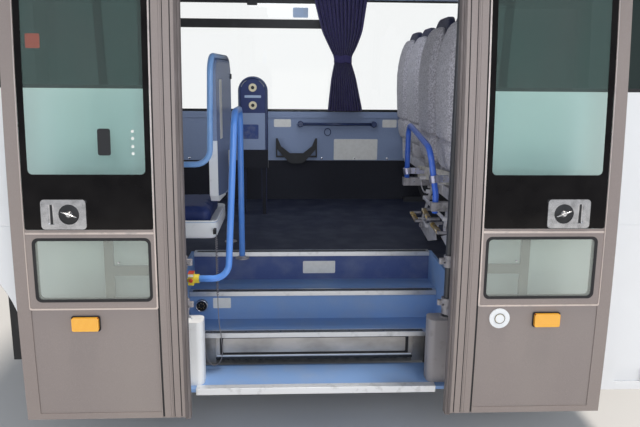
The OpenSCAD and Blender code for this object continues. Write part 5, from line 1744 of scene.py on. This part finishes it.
@dataclass
class SeatCastings:
    """Cast arms, a cast rail, plated springs and rail straps behind and under the near bench.

    Lines and outlines are given in y and z, with their x before them.
    """

    arms: tuple[tuple[float, float, tuple[Pair, ...]], ...] = (
        (0.690, 0.0125, ((0.640, 1.310), (0.760, 1.215), (0.860, 1.110), (0.985, 0.985))),
        (0.668, 0.0105, ((0.800, 1.196), (0.600, 1.186), (0.290, 1.176))),
        (0.712, 0.0170, ((0.190, 1.352), (0.300, 1.286), (0.395, 1.200), (0.440, 1.085))),
        (0.676, 0.0050, ((0.960, 1.290), (0.930, 1.244), (0.850, 1.222), (0.760, 1.240))),
        (0.690, 0.0090, ((1.040, 1.010), (0.930, 1.030), (0.820, 1.020))))
    plates: tuple[tuple[float, tuple[Pair, ...]], ...] = (
        (0.700, ((1.060, 0.962), (0.915, 1.020), (0.640, 1.042), (0.600, 0.985), (0.800, 0.930))),
        (0.705, ((0.500, 1.032), (0.340, 1.080), (0.200, 1.050), (0.210, 0.985))))
    rail: tuple[Pair, ...] = (
        (1.205, 1.252), (1.215, 1.332), (0.700, 1.384), (0.240, 1.424), (0.230, 1.352), (0.700, 1.308))
    rail_x: float = 0.704
    springs: tuple[tuple[Pair, Pair], ...] = (
        ((1.095, 1.040), (0.940, 1.026)), ((0.735, 1.134), (0.595, 1.114)), ((0.505, 1.102), (0.340, 1.094)))
    spring_x: float = 0.655
    spring_turns: int = 9
    spring_radius: float = 0.0115
    straps: tuple[Triple, ...] = ((0.597, 1.010, 1.328), (0.614, 0.330, 1.382))
    strap_end: float = 0.716
    tube_radius: float = 0.0165
    tube_lean: Triple = (-0.164, 0.0, 0.986)

    def build(self) -> None:
        """Builds the arms, plates, rail, springs and straps."""
        castings = Shape()
        boss = [(0.0, -0.008), (0.010, -0.008), (0.0125, -0.006), (0.0125, 0.075)]
        for x, radius, line in self.arms:
            points = [row(x, y, z) for y, z in line]
            castings.tube(smooth_path(points, 6), radius * 0.6, 12, 1.9)
            castings.lathes(boss, (points[0], points[-1]), Vector((1, 0, 0)), 18)
        for x, outline in self.plates:
            castings.plate(outline, side_on(x), (0.0, 0.009))
        castings.piece("seat_castings", SEAT_CAST, "seat_metal", 1.5)
        rail = Shape().plate(self.rail, side_on(self.rail_x), (0.0, 0.014))
        rail.piece("seat_rail", CREAM_CAST, "seat_metal", 3.0)
        self.coils()
        for index, place in enumerate(self.straps):
            self.strap(index, *place)
        log.info("seat castings made")

    def coils(self) -> None:
        """Adds the plated coil springs, each on a pin."""
        wire, pins = Shape(), Shape()
        side, steps = Vector((1, 0, 0)), self.spring_turns * 12
        for (y0, z0), (y1, z1) in self.springs:
            a, b = row(self.spring_x, y0, z0), row(self.spring_x, y1, z1)
            along = (b - a).normalized()
            up = along.cross(side)
            line = [a.lerp(b, k / steps) + self.spring_radius * (
                math.cos(k * math.pi / 6) * side + math.sin(k * math.pi / 6) * up) for k in range(steps + 1)]
            wire.tube(line, 0.0034, 6)
            pins.tube([a - along * 0.018, b + along * 0.018], 0.0048, 12)
            for end in (a - along * 0.012, b + along * 0.012):
                pins.tube([end - side * 0.012, end + side * 0.060], 0.009, 12)
        wire.piece("seat_springs", GOLD_STEEL, "seat_metal")
        pins.piece("seat_spring_pins", CAST, "seat_metal")

    def strap(self, index: int, x: float, y: float, z: float) -> None:
        """Adds one strap round the right rail, with its plate and two screws."""
        r = self.tube_radius
        ring = [(r, -0.019), (r + 0.0075, -0.019), (r + 0.0075, 0.019), (r, 0.019)]
        shape = Shape().lathe(ring, row(x, y, z), Vector(self.tube_lean), 28)
        shape.box(row(x + r, y - 0.004, z - 0.019), row(x + r + 0.060, y + 0.004, z + 0.019))
        shape.box(row(x + r + 0.056, y - 0.004, z - 0.019), row(self.strap_end, y + 0.002, z + 0.004))
        shape.piece(f"rail_strap_{index}", STRAP_STEEL, "stainless", 1.0)
        centres = [row(x + r + 0.034, y - 0.004, z + dz) for dz in (-0.009, 0.009)]
        Shape().lathes([(0.0, -0.0035), (0.004, -0.003), (0.0048, 0.001)], centres).piece(
            f"rail_strap_screws_{index}", CHROME, "lock_metal")


@dataclass
class FoldSeat:
    """The folding seat beside the doorway, with its pan, cushion, leg and cord socket."""

    x: Pair = (-0.980, -0.515)
    y: Pair = (0.330, 0.820)
    z: Pair = (1.063, 1.160)
    radius: float = 0.036
    deck_z: float = 0.8783
    inset: float = 0.026

    def build(self) -> None:
        """Builds the pan, its rim, the cushion, the leg and the cord's socket."""
        pan = self.pan()
        self.cushion()
        leg = Shape().box(row(-0.810, 0.540, self.deck_z), row(-0.750, 0.620, 1.064))
        leg.piece("fold_seat_leg", CAST, "seat_metal", 4.0)
        foot = Shape().box(row(-0.818, 0.532, self.deck_z), row(-0.742, 0.628, 0.888))
        foot.piece("fold_seat_foot", CAST, "seat_metal", 2.0)
        socket = Shape().box(row(-0.531, 0.285, 1.098), row(-0.517, 0.331, 1.122))
        socket.lathe([(0.0045, 0.0), (0.0062, 0.001), (0.0062, 0.010)], row(-0.5215, 0.300, 1.0975),
                     UPWARDS, 20)
        socket.piece("cord_socket", BLACK_PLASTIC, "cord_sheath", 1.5)
        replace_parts(pan, "fold_seat")
        log.info("folding seat made")

    def ring(self, inset: float, z: float) -> list[Vector]:
        """An outline of the pan, drawn in and at a height."""
        low, high = (self.x[0] + inset, self.y[0] + inset), (self.x[1] - inset, self.y[1] - inset)
        return [row(x, y, z) for x, y in round_outline(low, high, self.radius - inset * 0.6, 6, 2)]

    def pan(self) -> bpy.types.Object:
        """Builds the white pan as one shell with a rolled rim, and the trim round it."""
        low, high = self.z
        profile = ((0.016, low), (0.004, low + 0.012), (0.0, low + 0.030), (0.0, high - 0.006), (0.003, high),
                   (0.010, high), (0.0135, high - 0.004), (0.0140, high - 0.022))
        pan = Shape().loops([self.ring(inset, z) for inset, z in profile]).piece(
            "fold_seat_pan", WHITE_PLASTIC, "white_moulding", smooth_deg=50)
        trim = [self.ring(-0.0008 + 0.0018 * abs(k - 3) / 3, high - 0.014 + 0.0016 * k) for k in range(7)]
        Shape().loops(trim, capped=False).piece("fold_seat_trim", STRIP_FILM, "white_moulding")
        return pan

    def cushion(self) -> None:
        """Builds the crowned cushion that fills the pan."""
        inset, mid = self.inset, (sum(self.x) / 2, sum(self.y) / 2)
        low, high = (self.x[0] + inset, self.y[0] + inset), (self.x[1] - inset, self.y[1] - inset)
        outline = round_outline(low, high, 0.040, 6, 4)
        rings = [[row(mid[0] + (x - mid[0]) * share, mid[1] + (y - mid[1]) * share, z) for x, y in outline]
                 for share, z in ((0.97, 1.139), (1.0, 1.156), (1.0, 1.196), (0.96, 1.210))]
        obj = Shape().loops(rings).piece("fold_seat_cushion", NAVY_VINYL, "seat_cloth")
        inflate(obj, 7.0, 16.0)
        soften(obj)
        keep_inside(obj, row(self.x[0] + 0.0145, self.y[0] + 0.0145, 1.1385),
                    row(self.x[1] - 0.0145, self.y[1] - 0.0145, 1.2275))


# Far side


@dataclass
class FarWall:
    """Lining of the far wall, its plates and rails, and the windows with their hopper bars."""

    plates: tuple[Plate, ...] = tuple(
        Plate(name, low, high, 0.010, (0.0, 0.0016), BLANK_FILM, "board_vinyl", along=2)
        for name, low, high in (("wall_plate_small", (-0.263, 1.487), (-0.122, 1.552)),
                                ("wall_plate", (0.237, 1.213), (0.604, 1.389)),
                                ("wall_plate_right", (0.640, 1.487), (0.760, 1.552))))
    window_film: Plate = Plate("window_film", (-0.106, 2.360), (0.015, 2.436), 0.008, (0.0246, 0.0252),
                               STRIP_FILM, "clear_glass", 0.0, arc=4)
    ledge_section: tuple[Pair, ...] = (
        (1.5635, 0.0002), (1.5635, 0.006), (1.572, 0.009), (1.606, 0.009), (1.612, 0.006), (1.612, 0.0002))
    hopper_x: Pair = (-1.039, 0.239)
    hopper_z: Pair = (2.276, 2.509)
    hopper_depth: Pair = (0.0243, 0.054)

    def build(self) -> None:
        """Dresses the linings and adds the plates, ring, capping, screws, hopper and brackets."""
        dress(["far_trim", "near_trim"], LINING, 1.0)
        dress(["far_kick"], FELT, 1.0)
        dress(["ceiling"], CEILING, 1.0)
        dress(["far_glass"], CLEAR_GLASS, 0.8)
        dress(["curtain_rail"], ALUMINIUM, 0.5)
        dress(["restraint_bracket"], BLACK_PLASTIC, 2.0)
        for plate in self.plates:
            plate.build(on_far_lining)
        ring = Shape().tube(ring_path(on_far_lining, (0.1825, 1.447), (0.026, 0.030), 0.004, 36), 0.0036, 8)
        ring.piece("wall_ring", NAVY_RAIL, "stainless")
        self.window_film.build(on_far_skin)
        rings = [[on_far_lining(-1.655 + 3.31 * k / 12, z, d) for z, d in self.ledge_section]
                 for k in range(13)]
        Shape().loops(rings).piece("window_ledge_cap", LEDGE, "wall_lining", 1.0)
        centres = [on_far_lining(-1.52 + k * 0.276, 1.226, 0.0) for k in range(12)]
        washers = Shape().lathes([(0.0, 0.0026), (0.004, 0.0028), (0.0085, 0.0012), (0.0095, -0.0006)],
                                 centres, -INWARDS, 18)
        washers.piece("lining_screws", CHROME, "stainless")
        self.hopper()
        self.rail_ends()
        log.info("far wall dressed")

    def hopper(self) -> None:
        """Replaces the hopper frames by the middle window's own, the only one that shows, and its latch."""
        (left, right), (low, high), (near, far) = self.hopper_x, self.hopper_z, self.hopper_depth
        outer = round_outline((left, low), (right, high), 0.004, 2, 10)
        inner = round_outline((left + 0.016, low + 0.067), (right - 0.016, high - 0.044), 0.004, 2, 10)
        window = Shape().frame(outer, inner, on_far_skin, (near, far))
        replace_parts(window.piece("hopper_frame", BLACK_PLASTIC, "black_plastic", 1.5), "far_hopper")
        Plate("hopper_latch", (-0.468, high - 0.062), (-0.388, high - 0.020), 0.006,
              (far - 0.006, far + 0.008), BLACK_PLASTIC, "black_plastic", 1.5, arc=4).build(on_far_skin)

    def rail_ends(self) -> None:
        """Adds a round bracket at each end of the far grab rail."""
        low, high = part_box("far_grab_rail")
        centres = [Vector((x, low.y - 0.002, (low.z + high.z) / 2)) for x in (low.x + 0.012, high.x - 0.012)]
        profile = [(0.0, 0.0), (0.020, 0.0), (0.024, 0.004), (0.024, high.y - low.y - 0.001)]
        Shape().lathes(profile, centres, sides=28).piece("grab_rail_brackets", NAVY_RAIL, "dark_blue_coat")


@dataclass
class Curtain:
    """A gathered curtain tied back at its waist, hung from the rail by its head."""

    rows: tuple[Triple, ...] = (  # height, left edge and right edge
        (1.630, 0.175, 0.458), (1.890, 0.200, 0.400), (2.036, 0.228, 0.351), (2.130, 0.180, 0.402),
        (2.250, 0.120, 0.446), (2.4965, 0.054, 0.479))
    waist: float = 2.036
    x_limits: Pair = (0.055, 0.478)
    y: float = 2.318
    half_thick: float = 0.018
    folds: int = 13
    levels: int = 60
    per_fold: int = 10

    def edge(self, z: float, column: int) -> float:
        """The curtain's edge at a height, rounded off between the measured rows."""
        low, high = self.rows[0][0], self.rows[-1][0]
        heights = (min(max(z + step, low), high) for step in (-0.03, 0, 0.03))
        return sum(between(self.rows, height, column) for height in heights) / 3

    def level(self, z: float) -> list[Vector]:
        """One level line of the cloth, whose folds drift as they fall."""
        left, right = self.edge(z, 1), self.edge(z, 2)
        squeeze = 1 - 0.15 * math.exp(-(((z - self.waist) / 0.075) ** 2))
        count = self.folds * self.per_fold
        line = []
        for t in (i / count for i in range(count + 1)):
            phase = 2 * math.pi * self.folds * t + 0.5 * math.sin(3.1 * z + 5 * t)
            deep = self.half_thick * (0.82 + 0.14 * math.sin(7 * t + 4 * z)) * squeeze
            x = left + (right - left) * (t + 0.006 * math.sin(2 * phase))
            x = min(max(x, self.x_limits[0]), self.x_limits[1])
            line.append(row(x, self.y + deep * math.cos(phase), z))
        return line

    def build(self) -> None:
        """Builds the cloth as one sheet, then its tie."""
        low, length = self.rows[0][0], self.rows[-1][0] - self.rows[0][0]
        shape = Shape().loops([self.level(low + length * j / self.levels) for j in range(self.levels + 1)],
                              closed=False, capped=False)
        width = sum(f.calc_area() for f in shape.mesh.faces) / length
        cloth = shape.piece("curtain_cloth", CURTAIN_CLOTH, "curtain_cloth", smooth_deg=180)
        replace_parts(cloth, "curtain")
        self.tie()
        log.info("curtain: %.3f by %.3f m of cloth", width, length)

    def tie(self) -> bpy.types.Object:
        """Builds the strap round the curtain's waist."""
        left, right = self.edge(self.waist, 1) - 0.002, self.edge(self.waist, 2) + 0.002
        mid, half = (left + right) / 2, (right - left) / 2
        ring = [(half * math.copysign(abs(c) ** 0.5, c), 0.0193 * math.copysign(abs(s) ** 0.6, s))
                for c, s in disc_outline((0, 0), 1, 48)]
        rings = [[row(mid + x, self.y + y, self.waist + dz + 0.006 * math.sin(6 * x / half)) for x, y in ring]
                 for dz in (-0.028, -0.010, 0.010, 0.028)]
        return Shape().loops(rings, capped=False).piece(
            "curtain_tie", CURTAIN_CLOTH, "curtain_cloth", smooth_deg=180)


@dataclass
class BackrestBoard:
    """The padded board that a wheelchair backs up to, with its two discs."""

    x: Pair = (-0.509, -0.295)
    y: Pair = (1.840, 1.900)
    disc_z: Pair = (1.690, 1.817)
    disc: tuple[Pair, ...] = (
        (0.014, -0.0145), (0.0285, -0.0142), (0.0300, -0.012), (0.0300, -0.002), (0.014, -0.002))
    eye: tuple[Pair, ...] = ((0.0, -0.0150), (0.0115, -0.0150), (0.0125, -0.0146), (0.0125, -0.004))
    arch_z: float = 1.790
    arc_radius: float = 0.092
    tube_half: float = 0.098
    pad_foot: float = 1.367
    floor_z: float = 0.8785

    def build(self) -> None:
        """Dresses the board and adds discs, strip, white corner arcs as painted highlights, tube, lower panel
        and foot.
        """
        dress(["backrest_board"], NAVY_VINYL, 6.0)
        mid, front = sum(self.x) / 2, self.y[0]
        for index, z in enumerate(self.disc_z):
            place = row(mid, front, z)
            Shape().lathe(self.disc, place, INWARDS, 40).piece(
                f"board_disc_{index}", CREAM_PLASTIC, "white_moulding")
            Shape().lathe(self.eye, place, INWARDS, 32).piece(
                f"board_disc_eye_{index}", BLACK_PLASTIC, "black_plastic")
        Plate("board_strip", (mid - 0.060, 1.744), (mid + 0.060, 1.762), 0.004, (-0.0016, 0.001), STRIP_FILM,
              "board_vinyl").build(facing(front))
        # painted highlights: two white film arcs at the board's top corners
        for index, sign in enumerate((-1, 1)):
            turns = (math.radians(18 + 5 * k) for k in range(10))
            arc = [row(mid + sign * self.arc_radius * math.cos(a), front - 0.0022,
                       self.arch_z + self.arc_radius * math.sin(a)) for a in turns]
            Shape().tube(arc, [0.0012] + [0.0042] * 8 + [0.0012], 8, 0.5).piece(
                f"board_arc_{index}", BLANK_FILM, "board_vinyl")
        self.frame_tube(mid, front - 0.001)
        self.lower_panel(mid, front)
        log.info("backrest board dressed")

    def frame_tube(self, mid: float, y: float) -> None:
        """Adds the blue tube that runs up one side, over the arch and down the other."""
        half = self.tube_half
        turns = (math.pi * k / 20 for k in range(21))
        arch = [row(mid + half * math.cos(a), y, self.arch_z + half * math.sin(a)) for a in turns]
        line = [row(mid + half, y, self.pad_foot), *arch, row(mid - half, y, self.pad_foot)]
        Shape().tube(line, 0.0085, 12).piece("board_tube", NAVY_RAIL, "board_vinyl")

    def lower_panel(self, mid: float, front: float) -> None:
        """Adds the laminate panel under the pad, its blank sign, and the dark foot with two legs."""
        outline = [(mid - 0.088, 1.366), (mid + 0.088, 1.366), (mid + 0.088, 1.634), (mid - 0.088, 1.634)]
        panel = Shape().plate(outline, facing(front), (-0.0018, 0.001))
        panel.piece("board_panel", LINING, "wall_lining", 0.5)
        Plate("board_sign", (-0.478, 1.445), (-0.363, 1.551), 0.008, (-0.0030, -0.0012), BLUE_FILM,
              "board_vinyl", 0.3).build(facing(front))
        left, right = self.x[0] - 0.001, self.x[1] + 0.001
        foot = Shape().plate([(left, 1.229), (right, 1.229), (right, 1.364), (left, 1.364)], facing(front),
                             (-0.0022, 0.061))
        for x in (self.x[0] + 0.030, self.x[1] - 0.030):
            foot.box(row(x - 0.0165, front + 0.0105, self.floor_z),
                     row(x + 0.0165, self.y[1] - 0.0105, 1.232))
        foot.piece("board_foot", FELT, "kick_carpet")


def plain_box(box: Any) -> Any:
    """A box as plain lists of numbers."""
    if isinstance(box, dict):
        return {key: plain_box(value) for key, value in box.items()}
    if isinstance(box, (list, tuple, Vector)):
        return [plain_box(value) for value in box]
    return round(float(box), 5)


def write_sizes() -> None:
    boxes = {"cad": plain_box(cad_box), "visual": plain_box(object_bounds())}
    log.info("boxes: %s", boxes)


def main() -> None:
    """Builds the studio and the object's pieces in order."""
    logging.basicConfig(level=logging.INFO, format="%(message)s")
    studio = Studio()
    studio.camera()
    RemoteCord().build()
    studio.build()
    for part in (BodyShell(), LeftLeaf(), RightLeaf(), Columns(), StepWell(), LiftCassette(), FootCovers(),
                 HandRails(), Partition(), FoldSeat(), SeatRows(), SeatCastings(), FarWall(), Curtain(),
                 BackrestBoard()):
        part.build()
    write_sizes()


if __name__ == "__main__":
    main()
